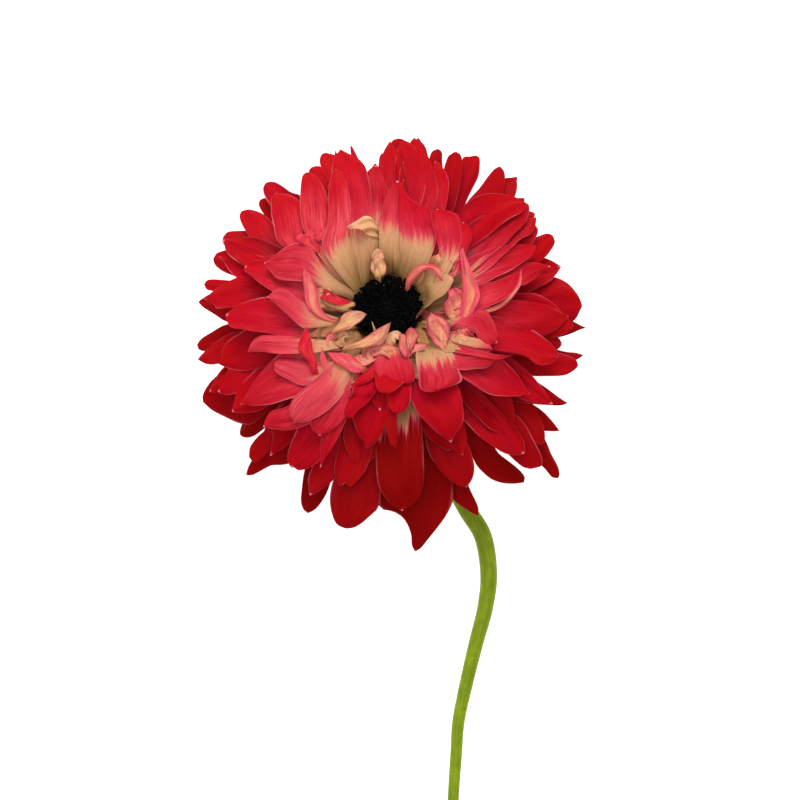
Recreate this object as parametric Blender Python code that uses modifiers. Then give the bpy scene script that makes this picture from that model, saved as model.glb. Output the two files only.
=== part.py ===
"""A cut double anemone: one bloom of many petals on a bare, curved green stem.

Metres, +Z up. The flower lies on a flat surface at z = 0. The stem runs along it towards -Y,
and the bloom looks up and leans towards +Y, so that its rearmost petals rest on the surface.
"""
import math
import random

import bmesh
import bpy
import numpy as np
from mathutils import Vector

MM = 0.001

# Bloom: the middle of the eye, at the level of the anthers, and the lean of its axis
EYE = np.array([-1.0, 44.0, 36.0])
LEAN_BACK = math.radians(20.0)
LEAN_SIDE = math.radians(5.0)

PETAL_THICKNESS = 0.6
CUP = 0.2
SHEET_GAP = 0.7
CORE_RADIUS = 7.4
CORE_TOP = -5.6
CORE_FOOT = -17.5

# Eye
PISTIL_RADIUS = 4.3
PISTIL_BASE = -5.25
PISTIL_HEIGHT = 5.0
RING_INNER = 4.75
RING_OUTER = 6.4
ANTHER_RADIUS = 0.95
ANTHER_RINGS = ((5.5, 12, 0.0), (7.7, 22, -0.4))

# Plan positions of the petals' tips are as seen from this far above the eye
SEEN_FROM = 700.0

# Each layer of petals: radius and height of the roots, rise at the root and droop at the tip in
# degrees, height of the tips. Heights run along the axis from the anthers' level, in millimetres.
# A petal is where its tip lies in plan, from the middle of the eye: x, y, then its width, how
# blunt it is, and by how many degrees its root is turned round the axis from its tip. Lanes is
# how many strips wide a blade is made.
LAYERS = {
    "back": dict(
        root=(4.6, -13.8), lanes=1, rise=2, droop=-32, tip=-20.5,
        petals=[
            (3.0, 42.0, 6, 0.4, 0), (12.7, 39.5, 5, 0.5, 0), (19.0, 38.0, 6, 0.5, 0), (34.0, 28.0, 8, 0.3, 0),
            (48.5, -5.0, 6, 0.1, 0), (49.5, -12.0, 6, 0.0, 0), (42.7, -30.7, 10, 0.3, 0),
            (42.5, -42.7, 8, 0.5, 0), (34.0, -43.5, 9, 0.5, 6), (22.7, -52.0, 9, 0.1, 6),
            (7.0, -61.2, 14, 0.1, 0), (-19.7, -51.5, 8, 0.7, -4), (-35.7, -41.5, 8, 0.1, 0),
            (-36.5, -32.0, 7, 0.6, 0), (-46.0, -22.5, 12, 0.8, 4), (-47.5, -9.5, 8, 0.3, 4),
            (-47.0, 1.5, 6, 0.5, 4), (-31.5, 26.0, 6, 0.5, 0), (-13.0, 38.5, 5, 0.5, 0),
        ],
    ),
    "outer": dict(
        root=(5.4, -11.9), lanes=1, rise=16, droop=-26, tip=-14.5,
        petals=[
            (1.0, 41.5, 8, 0.3, 0), (7.5, 42.7, 11, 0.3, 0), (22.5, 38.0, 8, 0.6, 4), (28.0, 35.2, 9, 0.6, 5),
            (31.5, 32.5, 8, 0.5, 5), (34.5, 26.5, 8, 0.6, 0), (41.7, 17.7, 9, 0.5, 4), (43.0, 10.7, 11, 0.4, 4),
            (48.5, 0.5, 15, 0.8, 0), (43.7, -9.0, 9, 0.4, 0), (47.2, -14.0, 10, 0.7, 4),
            (45.2, -24.2, 10, 0.1, 6), (39.2, -33.7, 10, 0.4, 6), (38.2, -40.5, 11, 0.6, 6),
            (20.7, -45.0, 14, 0.5, 0), (-10.0, -55.0, 14, 0.8, -4), (-32.0, -35.5, 9, 0.3, -4),
            (-34.5, -38.0, 9, 0.6, -4), (-44.7, -19.7, 9, 0.3, 0), (-47.0, -12.5, 8, 0.4, 0),
            (-45.7, 6.0, 8, 0.5, 6), (-43.7, 11.7, 9, 0.6, 8), (-41.0, 17.5, 8, 0.5, 4),
            (-30.0, 31.2, 9, 0.6, 0),
        ],
    ),
    "middle": dict(
        root=(6.0, -10.0), lanes=1, rise=28, droop=-24, tip=-9.5,
        petals=[
            (3.3, 39.2, 6, 0.3, 0), (17.0, 39.0, 8, 0.5, 4), (36.5, 24.0, 9, 0.4, 0), (37.5, 20.5, 11, 0.2, 0),
            (37.2, 15.0, 9, 0.3, 4), (46.2, -4.5, 10, 0.4, 0), (41.7, -23.5, 8, 0.3, 6),
            (32.2, -30.5, 10, 0.3, 6), (33.5, -38.0, 10, 0.5, 6), (18.7, -36.7, 10, 0.4, 0),
            (4.0, -50.7, 12, 0.5, 0), (1.5, -34.7, 7, 0.3, 0), (-6.5, -40.5, 9, 0.4, 4),
            (-11.0, -45.5, 8, 0.6, 6), (-19.0, -47.0, 9, 0.4, 4), (-28.5, -36.2, 9, 0.3, 0),
            (-38.7, -26.0, 9, 0.4, 0), (-42.2, -21.0, 9, 0.3, 0), (-42.3, -13.7, 10, 0.3, 0),
            (-45.0, 2.7, 10, 0.4, 4), (-41.0, 13.0, 8, 0.3, 8), (-38.0, 14.5, 7, 0.3, 8),
            (-40.5, 17.0, 8, 0.5, 6), (-36.5, 24.0, 10, 0.6, 6), (-17.5, 35.0, 8, 0.5, -6),
            (-15.5, 38.5, 8, 0.6, -6), (-3.0, 36.0, 8, 0.3, 0),
        ],
    ),
    "inner": dict(
        root=(6.6, -8.1), lanes=2, rise=38, droop=-18, tip=-5.0,
        petals=[
            (7.2, 39.0, 10.5, 0.3, 0), (31.0, 27.0, 12, 0.5, 0), (33.2, 9.2, 6, 0.1, -10),
            (42.9, -12.2, 11, 0.4, 0), (34.7, -21.2, 9, 0.3, 8), (15.7, -32.7, 12, 0.4, 4),
            (2.7, -26.7, 6, 0.5, 0), (-1.7, -25.2, 6, 0.4, 0), (-8.7, -27.7, 8, 0.4, 8),
            (-5.2, -35.2, 10, 0.3, 8), (-16.5, -39.5, 4.5, 0.2, 14), (-24.2, -40.5, 9, 0.7, 4),
            (-36.2, -24.2, 11, 0.4, -4), (-40.2, -1.7, 11, 0.4, 4), (-36.2, 10.2, 6, 0.2, 20),
            (-27.5, 28.0, 9, 0.7, -6), (-19.7, 33.2, 7.5, 0.6, -8), (-9.5, 39.5, 10, 0.1, -4),
        ],
    ),
    "crown": dict(
        root=(7.2, -6.2), lanes=2, rise=48, droop=-10, tip=-1.5,
        petals=[
            (4.2, 31.5, 10, 0.2, 0), (16.5, 23.5, 11, 0.9, 0), (27.0, -13.0, 7, 0.6, 8),
            (14.0, -20.5, 10, 0.9, 0), (6.0, -19.0, 7, 0.8, 0), (0.2, -21.7, 9, 0.4, 0),
            (-9.2, -20.0, 5, 0.1, 30), (-16.7, -32.2, 9, 0.2, 4), (-23.5, -28.7, 11, 0.4, 6),
            (-31.0, -29.7, 10, 0.3, 6), (-28.0, -14.5, 6, 0.2, 10), (-35.0, -11.2, 7.5, 0.3, 4),
            (-29.7, 2.5, 5, 0.2, 28), (-30.7, 11.0, 10.5, 0.3, 0), (-12.5, 34.5, 9.5, 0.5, -4),
            (-3.5, 31.0, 8, 0.4, 0),
        ],
    ),
}

# The small curled petals round the eye, all rooted in the core: three points (x, y in plan from
# the middle of the eye, height along the axis) that the blade follows to its tip, and its width
CURLS = [
    ((-1.0, 20.0, 4.0), (-5.0, 25.5, 6.0), (-10.5, 19.8, 4.0), 4.2),
    ((-2.2, 10.0, 1.0), (-2.4, 13.0, 4.0), (-2.6, 14.2, 5.0), 3.6),
    ((9.0, 7.5, -1.0), (11.0, 9.0, 3.0), (12.0, 10.0, 5.0), 9.0),
    ((14.5, 9.0, 1.0), (16.0, 12.0, 6.0), (16.3, 14.2, 7.0), 4.5),
    ((26.0, -2.5, 5.0), (24.0, 9.0, 9.0), (18.5, 15.0, 8.0), 3.8),
    ((20.0, -2.0, 3.0), (18.5, 3.0, 7.0), (16.8, 4.8, 7.5), 4.6),
    ((16.5, -11.0, 2.0), (12.5, -4.0, 6.0), (10.5, -1.0, 6.5), 5.4),
    ((5.0, -12.5, 2.0), (6.5, -7.0, 5.5), (6.5, -5.0, 5.5), 3.2),
    ((6.0, -12.5, 2.0), (8.5, -10.8, 4.5), (10.2, -10.0, 4.5), 2.8),
    ((-9.0, -12.0, 4.0), (-3.0, -8.5, 6.5), (1.0, -3.5, 5.4), 3.6),
    ((-14.0, -5.5, 3.0), (-9.0, -1.0, 6.5), (-4.8, -2.0, 5.4), 4.0),
    ((-13.5, 2.5, 1.0), (-11.5, 1.0, 4.0), (-10.2, 1.5, 4.0), 1.8),
    ((-19.0, -5.5, 4.0), (-22.0, 2.0, 8.0), (-20.2, 9.2, 8.5), 2.8),
    ((-14.5, -15.5, 3.0), (-16.0, -11.5, 6.5), (-16.5, -10.0, 7.0), 2.0),
    ((-9.0, -12.5, 3.0), (-12.5, -12.5, 6.5), (-14.5, -11.5, 6.0), 4.0),
    ((-7.5, -13.5, 3.0), (-6.5, -15.5, 6.5), (-4.8, -15.5, 6.0), 3.6),
    ((-10.0, -14.0, 3.0), (-11.0, -16.5, 6.5), (-11.0, -17.0, 6.0), 4.0),
    ((-11.5, -9.5, 1.0), (-13.5, -9.0, 5.0), (-14.0, -7.2, 5.0), 3.0),
    ((2.5, -12.0, 1.0), (-0.5, -12.0, 4.0), (-2.0, -11.2, 3.8), 2.6),
    ((-20.5, -19.5, 4.0), (-22.5, -10.0, 8.5), (-20.8, -5.0, 8.5), 4.0),
    ((23.0, -3.5, 4.0), (26.5, -6.5, 8.0), (27.5, -9.0, 6.5), 5.0),
]

# Stem: x, y, z of its middle line, from under the core down to the surface and along it to the
# cut, and its radius there
STEM_PATH = [
    (-0.5, 37.9, 19.2, 2.5), (-0.3, 36.4, 15.2, 2.45), (1.2, 31.6, 8.6, 2.4), (4.8, 23.2, 4.0, 2.4),
    (10.0, 11.5, 2.4, 2.4), (15.0, 1.0, 2.36, 2.38), (19.5, -7.9, 2.34, 2.36), (23.6, -15.0, 2.32, 2.34),
    (25.2, -24.7, 2.22, 2.24), (24.4, -33.6, 2.08, 2.1), (22.1, -43.3, 1.92, 1.94),
    (19.7, -53.3, 1.76, 1.78), (17.6, -63.5, 1.62, 1.64), (17.0, -72.0, 1.54, 1.56),
    (16.4, -80.6, 1.48, 1.5), (16.0, -88.8, 1.44, 1.46),
]


def unit(vector):
    """The vector at length one."""
    return vector / np.linalg.norm(vector)


AXIS = np.array([
    -math.sin(LEAN_BACK) * math.sin(LEAN_SIDE),
    math.sin(LEAN_BACK) * math.cos(LEAN_SIDE),
    math.cos(LEAN_BACK),
])


def head_point(x, y, height):
    """The point over plan offset x, y from the eye at this height along the axis, in millimetres."""
    rise = (height - AXIS[0] * x - AXIS[1] * y) / AXIS[2]
    return EYE + np.array([x, y, rise])


def axis_point(height):
    """The point of the bloom's axis at this height."""
    return EYE + height * AXIS


def bezier(points, share):
    """Points and unit directions of a cubic curve at the given shares of its length parameter."""
    a, b, c, d = (np.asarray(point, float) for point in points)
    t = share[:, None]
    spot = (1 - t) ** 3 * a + 3 * t * (1 - t) ** 2 * b + 3 * t * t * (1 - t) * c + t ** 3 * d
    way = (1 - t) ** 2 * (b - a) + 2 * t * (1 - t) * (c - b) + t * t * (d - c)
    return spot, way / np.linalg.norm(way, axis=1)[:, None]


def petal_path(layer, order, x, y, turn):
    """Control points of one petal's mid line: up and out of the core, over, and down to its tip."""
    radius, base = layer["root"]
    step = order % 3
    base -= SHEET_GAP * step
    sag = 0.18 * max(0.0, -y - 20.0)
    height = layer["tip"] - 1.0 * step - sag
    spread = 1.0 + (EYE[2] - max(head_point(x, y, height)[2], 0.0)) / SEEN_FROM
    tip = head_point(spread * x, spread * y, height)
    if tip[2] < 1.0:
        tip[2] = -2.5
    away = tip - EYE
    outward = unit(away - (away @ AXIS) * AXIS)
    aside = np.cross(AXIS, outward)
    start = math.cos(math.radians(turn)) * outward + math.sin(math.radians(turn)) * aside
    root = axis_point(base) + radius * start
    span = np.linalg.norm(tip - root)
    flat = unit((tip - root) - ((tip - root) @ AXIS) * AXIS)
    rise = math.radians(layer["rise"] - 3.0 * step)
    droop = math.radians(layer["droop"])
    first = root + 0.38 * span * (math.cos(rise) * unit(start + flat) + math.sin(rise) * AXIS)
    arrive = math.cos(droop) * flat + math.sin(droop) * AXIS
    if tip[2] < 0.0:
        arrive = unit(np.array([flat[0], flat[1], 0.0]))
    second = tip - 0.33 * span * arrive
    return (root, first, second, tip), unit(np.cross(AXIS, flat))


def blade(path, across, width, blunt, rows, lanes, floor):
    """Grid of points of a thin blade: narrow at the root, widest past the middle, cupped."""
    share = 1.0 - (1.0 - np.linspace(0.0, 1.0, rows + 1)) ** 1.3
    spot, way = bezier(path, share)
    side = across - (way @ across)[:, None] * way
    side /= np.linalg.norm(side, axis=1)[:, None]
    up = np.cross(way, side)
    swell = 0.2 + 0.8 * np.sin(0.5 * math.pi * np.clip(share / 0.62, 0.0, 1.0))
    taper = np.clip((share - 0.62) / 0.38, 0.0, 1.0)
    close = (1.0 - taper ** (1.6 + 2.0 * blunt)) ** (0.75 - 0.3 * blunt)
    half = np.maximum(0.5 * width * swell * close, 0.45)
    lane = np.linspace(-1.0, 1.0, lanes + 1)
    grid = spot[:, None] + side[:, None] * (half[:, None] * lane)[..., None]
    grid = grid + up[:, None] * (CUP * half[:, None] * (lane ** 2 - 0.5))[..., None]
    grid[..., 2] = np.maximum(grid[..., 2], floor)
    return grid


def sheet_object(name, grid, collection):
    """A closed thin blade from a grid of points: a triangulated sheet with Solidify."""
    rows, columns = grid.shape[:2]
    mesh = bpy.data.meshes.new(name)
    form = bmesh.new()
    points = [form.verts.new(tuple(point * MM)) for point in grid.reshape(-1, 3)]
    for i in range(rows - 1):
        for j in range(columns - 1):
            a = i * columns + j
            form.faces.new((points[a], points[a + 1], points[a + columns + 1], points[a + columns]))
    bmesh.ops.triangulate(form, faces=form.faces[:])
    form.to_mesh(mesh)
    form.free()
    sheet = bpy.data.objects.new(name, mesh)
    collection.objects.link(sheet)
    shell = sheet.modifiers.new("Thickness", "SOLIDIFY")
    shell.thickness = PETAL_THICKNESS * MM
    shell.offset = 0.0
    return sheet


def turned(name, profile, steps, collection, ring=False):
    """A solid turned about the bloom's axis from a profile of radius and height pairs."""
    mesh = bpy.data.meshes.new(name)
    edges = [(i, i + 1) for i in range(len(profile) - 1)]
    if ring:
        edges.append((len(profile) - 1, 0))
    mesh.from_pydata([(r * MM, 0.0, h * MM) for r, h in profile], edges, [])
    solid = bpy.data.objects.new(name, mesh)
    collection.objects.link(solid)
    screw = solid.modifiers.new("Turn", "SCREW")
    screw.steps = steps
    screw.render_steps = steps
    screw.use_merge_vertices = True
    screw.merge_threshold = 0.00001
    solid.rotation_euler = (-LEAN_BACK, 0.0, LEAN_SIDE)
    solid.rotation_mode = "XYZ"
    solid.location = tuple(EYE * MM)
    return solid


def fuse(base, collection, solver="MANIFOLD"):
    """Join everything in the collection to the base object as one body, and drop the pieces."""
    joint = base.modifiers.new("Fuse", "BOOLEAN")
    joint.operation = "UNION"
    joint.operand_type = "COLLECTION"
    joint.collection = collection
    joint.solver = solver
    bpy.context.view_layer.update()
    evaluated = base.evaluated_get(bpy.context.evaluated_depsgraph_get())
    mesh = bpy.data.meshes.new_from_object(evaluated)
    base.modifiers.clear()
    base.data = mesh
    for piece in list(collection.objects):
        bpy.data.objects.remove(piece, do_unlink=True)
    bpy.data.collections.remove(collection)
    keep_outer_skin(mesh)


def keep_outer_skin(mesh):
    """Keep only the largest connected skin, which fills the pockets shut in between the blades."""
    form = bmesh.new()
    form.from_mesh(mesh)
    unseen = set(form.faces)
    skins = []
    while unseen:
        start = unseen.pop()
        skin = [start]
        for face in skin:
            for edge in face.edges:
                for near in edge.link_faces:
                    if near in unseen:
                        unseen.discard(near)
                        skin.append(near)
        skins.append(skin)
    skins.sort(key=len)
    for skin in skins[:-1]:
        bmesh.ops.delete(form, geom=skin, context="FACES")
    form.to_mesh(mesh)
    form.free()


def material(name, colour, roughness):
    """A plain material with a Principled surface."""
    made = bpy.data.materials.new(name)
    made.use_nodes = True
    surface = made.node_tree.nodes["Principled BSDF"]
    surface.inputs["Base Color"].default_value = (*colour, 1.0)
    surface.inputs["Roughness"].default_value = roughness
    return made


def new_collection(name):
    """A collection linked to the scene."""
    made = bpy.data.collections.new(name)
    bpy.context.scene.collection.children.link(made)
    return made


def make_petals(flower):
    """The bloom: five layers of petals and the small curls, fused to the core they grow from."""
    core = turned("petals", [
        (0.0, CORE_TOP), (CORE_RADIUS, CORE_TOP), (CORE_RADIUS - 0.4, CORE_TOP - 4.0),
        (6.2, -13.5), (5.2, -16.2), (3.0, CORE_FOOT), (0.0, CORE_FOOT),
    ], 16, flower)
    pieces = new_collection("petal pieces")
    count = 0
    for layer in LAYERS.values():
        for order, (x, y, width, blunt, turn) in enumerate(layer["petals"]):
            path, across = petal_path(layer, order, x, y, turn)
            floor = 0.5 * PETAL_THICKNESS
            grid = blade(path, across, width, blunt, 4, layer["lanes"], floor)
            sheet_object("petal.%03d" % count, grid, pieces)
            count += 1
    for *spots, width in CURLS:
        path = [head_point(*spot) for spot in spots]
        away = path[0] - EYE
        outward = unit(away - (away @ AXIS) * AXIS)
        path.insert(0, axis_point(CORE_TOP - 2.4) + 6.4 * outward)
        across = unit(np.cross(AXIS, unit(path[3] - path[1])))
        sheet_object("curl.%03d" % count, blade(path, across, width, 0.4, 3, 1, 1.0), pieces)
        count += 1
    fuse(core, pieces)
    core.data.materials.append(material("petal red", (0.6, 0.02, 0.04), 0.55))
    return core


def make_pistil(flower):
    """The dome in the middle of the eye, knobbly with packed carpels."""
    top = PISTIL_BASE + PISTIL_HEIGHT
    pistil = turned("pistil", [
        (0.0, top), (1.7, top - 0.35), (3.1, top - 1.3), (4.0, top - 2.8), (PISTIL_RADIUS, PISTIL_BASE + 0.6),
        (PISTIL_RADIUS - 0.3, PISTIL_BASE), (0.0, PISTIL_BASE),
    ], 20, flower)
    pistil.data.materials.append(material("pistil black", (0.01, 0.01, 0.012), 0.8))
    return pistil


def make_stamens(flower):
    """The ring of stamens: a collar with short filaments, each with an anther on top."""
    ring = turned("stamens", [
        (RING_INNER, -2.6), (RING_OUTER, -2.6), (RING_OUTER, PISTIL_BASE), (RING_INNER, PISTIL_BASE),
    ], 24, flower, ring=True)
    pieces = new_collection("stamen pieces")
    draw = random.Random(5)
    sideways = unit(np.cross([0.0, 1.0, 0.0], AXIS))
    forward = np.cross(AXIS, sideways)
    count = 0
    for radius, number, height in ANTHER_RINGS:
        for k in range(number):
            angle = 2.0 * math.pi * (k + draw.uniform(-0.15, 0.15)) / number
            outward = math.cos(angle) * sideways + math.sin(angle) * forward
            foot = axis_point(-3.6) + 5.6 * outward
            head = axis_point(height - ANTHER_RADIUS + draw.uniform(-0.2, 0.2)) + radius * outward
            stalk = bmesh.new()
            bmesh.ops.create_cone(stalk, cap_ends=True, segments=4, radius1=0.3 * MM, radius2=0.3 * MM,
                                  depth=np.linalg.norm(head - foot) * MM)
            lay(stalk, foot, head, "filament.%03d" % count, pieces)
            ball = bmesh.new()
            bmesh.ops.create_icosphere(ball, subdivisions=1, radius=ANTHER_RADIUS * MM)
            lay(ball, head, head + AXIS, "anther.%03d" % count, pieces)
            count += 1
    fuse(ring, pieces)
    ring.data.materials.append(material("anther black", (0.008, 0.008, 0.01), 0.7))
    return ring


def lay(form, start, end, name, collection):
    """Place a form made along Z between two points, or round the first when the second is a way."""
    mesh = bpy.data.meshes.new(name)
    form.to_mesh(mesh)
    form.free()
    piece = bpy.data.objects.new(name, mesh)
    collection.objects.link(piece)
    way = Vector(end - start)
    piece.rotation_mode = "QUATERNION"
    piece.rotation_quaternion = way.to_track_quat("Z", "Y")
    centre = start if name.startswith("anther") else 0.5 * (start + end)
    piece.location = tuple(centre * MM)


def make_stem(flower):
    """The stem: a tapering tube from under the core to its plain cut end."""
    curve = bpy.data.curves.new("stem", "CURVE")
    curve.dimensions = "3D"
    curve.bevel_depth = MM
    curve.bevel_resolution = 2
    curve.use_fill_caps = True
    points = smooth_path(np.array(STEM_PATH), 3)
    line = curve.splines.new("POLY")
    line.points.add(len(points) - 1)
    for point, (x, y, z, radius) in zip(line.points, points):
        point.co = (x * MM, y * MM, z * MM, 1.0)
        point.radius = radius
    tube = bpy.data.objects.new("stem tube", curve)
    flower.objects.link(tube)
    bpy.context.view_layer.update()
    mesh = bpy.data.meshes.new_from_object(tube.evaluated_get(bpy.context.evaluated_depsgraph_get()))
    form = bmesh.new()
    form.from_mesh(mesh)
    bmesh.ops.remove_doubles(form, verts=form.verts[:], dist=0.00001)
    for vertex in form.verts:
        vertex.co.z = max(vertex.co.z, 0.0)
    form.to_mesh(mesh)
    form.free()
    stem = bpy.data.objects.new("stem", mesh)
    flower.objects.link(stem)
    bpy.data.objects.remove(tube, do_unlink=True)
    stem.data.materials.clear()
    stem.data.materials.append(material("stem green", (0.25, 0.38, 0.02), 0.5))
    return stem


def smooth_path(points, parts):
    """A Catmull-Rom curve through the points, with the given number of parts a stretch."""
    padded = np.vstack([2 * points[0] - points[1], points, 2 * points[-1] - points[-2]])
    rows = []
    for i in range(1, len(padded) - 2):
        for k in range(parts):
            t = k / parts
            a, b, c, d = padded[i - 1:i + 3]
            rows.append(0.5 * (2 * b + (c - a) * t + (2 * a - 5 * b + 4 * c - d) * t * t
                               + (3 * b - a - 3 * c + d) * t ** 3))
    rows.append(points[-1])
    return np.array(rows)


def main():
    for thing in list(bpy.data.objects):
        bpy.data.objects.remove(thing, do_unlink=True)
    flower = new_collection("anemone")
    make_petals(flower)
    make_stamens(flower)
    make_pistil(flower)
    make_stem(flower)


main()
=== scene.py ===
"""A cut double red anemone, laid on a white surface and seen from straight above.

Metres, +Z up. The bloom leans towards +Y, so its rearmost petals rest on the surface, and the
stem runs towards -Y. Sizes in the tables are millimetres.
"""
from collections import defaultdict

import bpy
import numpy as np
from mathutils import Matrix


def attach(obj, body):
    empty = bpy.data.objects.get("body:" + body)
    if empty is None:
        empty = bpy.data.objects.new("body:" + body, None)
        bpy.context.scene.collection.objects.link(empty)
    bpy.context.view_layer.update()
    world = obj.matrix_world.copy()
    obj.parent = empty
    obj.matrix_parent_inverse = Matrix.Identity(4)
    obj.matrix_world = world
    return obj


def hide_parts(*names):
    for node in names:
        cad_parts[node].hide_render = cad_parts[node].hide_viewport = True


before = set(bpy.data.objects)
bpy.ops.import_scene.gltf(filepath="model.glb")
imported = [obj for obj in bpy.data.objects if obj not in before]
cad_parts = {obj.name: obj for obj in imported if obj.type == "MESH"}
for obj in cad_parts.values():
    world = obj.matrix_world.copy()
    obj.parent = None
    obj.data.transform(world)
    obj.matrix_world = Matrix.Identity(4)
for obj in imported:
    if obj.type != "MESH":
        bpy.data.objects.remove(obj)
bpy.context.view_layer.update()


# Setting: white card under the flower, a camera that looks straight down on it, and soft light
# from the bloom's far side, as a large window or softbox gives.
# EYE is the middle of the black eye; the camera hangs this high over it, and this far aside.
MM = 0.001
EYE = np.array([-1.0, 44.0, 36.0])
CAMERA_HEIGHT = 700.0
CAMERA_ASIDE = (3.25, -23.25)


def to_linear(text):
    """An sRGB hex colour as linear red, green, blue and a full alpha."""
    share = np.array([int(text[i:i + 2], 16) for i in (1, 3, 5)]) / 255.0
    linear = np.where(share <= 0.04045, share / 12.92, ((share + 0.055) / 1.055) ** 2.4)
    return (*linear.tolist(), 1.0)


def add(tree, kind, sockets=None, stops=None, **settings):
    """Add a node with its settings, and a colour ramp's stops if it has them. Each socket gets a
    number, a hex colour or a link; a node given for a link stands for its first live output."""
    node = tree.nodes.new("ShaderNode" + kind)
    for key, value in settings.items():
        setattr(node, key, value)
    for key, value in (sockets or {}).items():
        if isinstance(value, bpy.types.Node):
            value = next(output for output in value.outputs if output.enabled)
        if isinstance(value, bpy.types.NodeSocket):
            tree.links.new(value, node.inputs[key])
        else:
            node.inputs[key].default_value = to_linear(value) if isinstance(value, str) else value
    for count, (place, colour) in enumerate(stops or []):
        stop = node.color_ramp.elements[count] if count < 2 else node.color_ramp.elements.new(place)
        stop.position = place
        stop.color = to_linear(colour)
    return node


def new_material(name):
    """A material with an empty node tree, and that tree."""
    made = bpy.data.materials.new(name)
    made.use_nodes = True
    made.node_tree.nodes.clear()
    return made, made.node_tree


def bring_in(name, data):
    """A new object in the scene that shows this data."""
    brought = bpy.data.objects.new(name, data)
    bpy.context.scene.collection.objects.link(brought)
    return brought


lens = bpy.data.cameras.new("camera")
lens.sensor_width = 36.0
lens.lens = 126.0
lens.clip_end = 10.0
camera = bring_in("camera", lens)
camera.location = tuple((EYE + (*CAMERA_ASIDE, CAMERA_HEIGHT)) * MM)
bpy.context.scene.camera = camera
bpy.context.scene.view_settings.view_transform = "Standard"

# White card: matt, and faintly lit of itself, as a light table is, so it stays white at its edges.
card = bpy.data.meshes.new("card")
card.from_pydata([(-3, -3, 0), (3, -3, 0), (3, 3, 0), (-3, 3, 0)], [], [(0, 1, 2, 3)])
floor = bring_in("card", card)
card_white, tree = new_material("white card")
paper = add(tree, "BsdfPrincipled", {"Base Color": "#FAFAFA", "Roughness": 0.9,
                                     "Emission Color": "#FFFFFF", "Emission Strength": 0.75})
add(tree, "OutputMaterial", {"Surface": paper})
card.materials.append(card_white)

world = bpy.data.worlds.new("studio")
bpy.context.scene.world = world
world.use_nodes = True
world.node_tree.nodes["Background"].inputs["Color"].default_value = (1.0, 1.0, 1.0, 1.0)
world.node_tree.nodes["Background"].inputs["Strength"].default_value = 0.2

# Each softbox: where it hangs in millimetres, turned towards the bloom, its side in metres and its watts.
for name, spot, size, power in (("far softbox", (20.0, 600.0, 560.0), 0.5, 4.4),
                                ("overhead softbox", (-80.0, 0.0, 830.0), 0.8, 4.4)):
    lamp = bpy.data.lights.new(name, "AREA")
    lamp.size = size
    lamp.energy = power
    held = bring_in(name, lamp)
    held.location = tuple(np.array(spot) * MM)
    x, y, z = np.array(spot) - EYE
    held.rotation_euler = (0.0, float(np.arctan2(np.hypot(x, y), z)), float(np.arctan2(y, x)))


# Receptacle: the swollen, greenish end of the stem that every petal and stamen grows from. It is
# soft living tissue, drawn as one turned body; little of it shows between the petals' claws.
# AXIS is the way the bloom faces; SIDEWAYS and FORWARD span the plane across it.
TURN = 2.0 * np.pi
TIPPED, ASLANT = np.radians(20.0), np.radians(5.0)
AXIS = np.array([-np.sin(TIPPED) * np.sin(ASLANT), np.sin(TIPPED) * np.cos(ASLANT), np.cos(TIPPED)])
SIDEWAYS = np.cross([0.0, 1.0, 0.0], AXIS)
SIDEWAYS = SIDEWAYS / np.linalg.norm(SIDEWAYS)
FORWARD = np.cross(AXIS, SIDEWAYS)
RECEPTACLE_PROFILE = ((0.02, -5.5), (3.0, -5.5), (6.6, -5.7), (7.4, -6.6), (7.2, -9.0), (6.6, -11.5),
                      (6.2, -13.5), (5.2, -16.2), (3.0, -17.5), (0.02, -17.5))


def around_eye(angle):
    """Directions away from the bloom's axis at these angles."""
    return np.cos(angle)[:, None] * SIDEWAYS + np.sin(angle)[:, None] * FORWARD


def turned(profile, steps, capped=True):
    """Points of a profile of radius and height pairs, each carried once round the bloom's axis, and
    the quads that join neighbouring steps, with a cap on each end where it is open."""
    radius, height = np.array(profile, float).T
    around = around_eye(np.linspace(0.0, TURN, steps, endpoint=False))
    points = EYE + height[None, :, None] * AXIS + radius[None, :, None] * around[:, None]
    index = np.arange(steps * len(profile)).reshape(steps, -1)
    after = np.roll(index, -1, 0)
    quads = np.stack([index[:, :-1], index[:, 1:], after[:, 1:], after[:, :-1]], -1).reshape(-1, 4)
    caps = [index[:, 0].tolist(), index[::-1, -1].tolist()] if capped else []
    return points, quads.tolist() + caps


def put_in(name, points, faces, finish, slot, node, notes=None, sharp=None):
    """A smooth piece from points in millimetres and faces, with notes as point attributes."""
    mesh = bpy.data.meshes.new(name)
    mesh.from_pydata((points.reshape(-1, 3) * MM).tolist(), [], [list(face) for face in faces])
    for key, values in (notes or {}).items():
        kind, part = ("FLOAT_VECTOR", "vector") if values.ndim == 2 else ("FLOAT", "value")
        note = mesh.attributes.new(key, kind, "POINT")
        note.data.foreach_set(part, values.astype(np.float32).ravel())
    mesh.polygons.foreach_set("use_smooth", np.ones(len(mesh.polygons), bool))
    if sharp is not None:
        ends = np.empty(2 * len(mesh.edges), int)
        mesh.edges.foreach_get("vertices", ends)
        edge = mesh.attributes.new("sharp_edge", "BOOLEAN", "EDGE")
        edge.data.foreach_set("value", sharp[ends.reshape(-1, 2)].all(1))
    mesh.update()
    mesh.materials.append(finish)
    piece = bring_in(name, mesh)
    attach(piece, "root")
    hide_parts(node)


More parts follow.
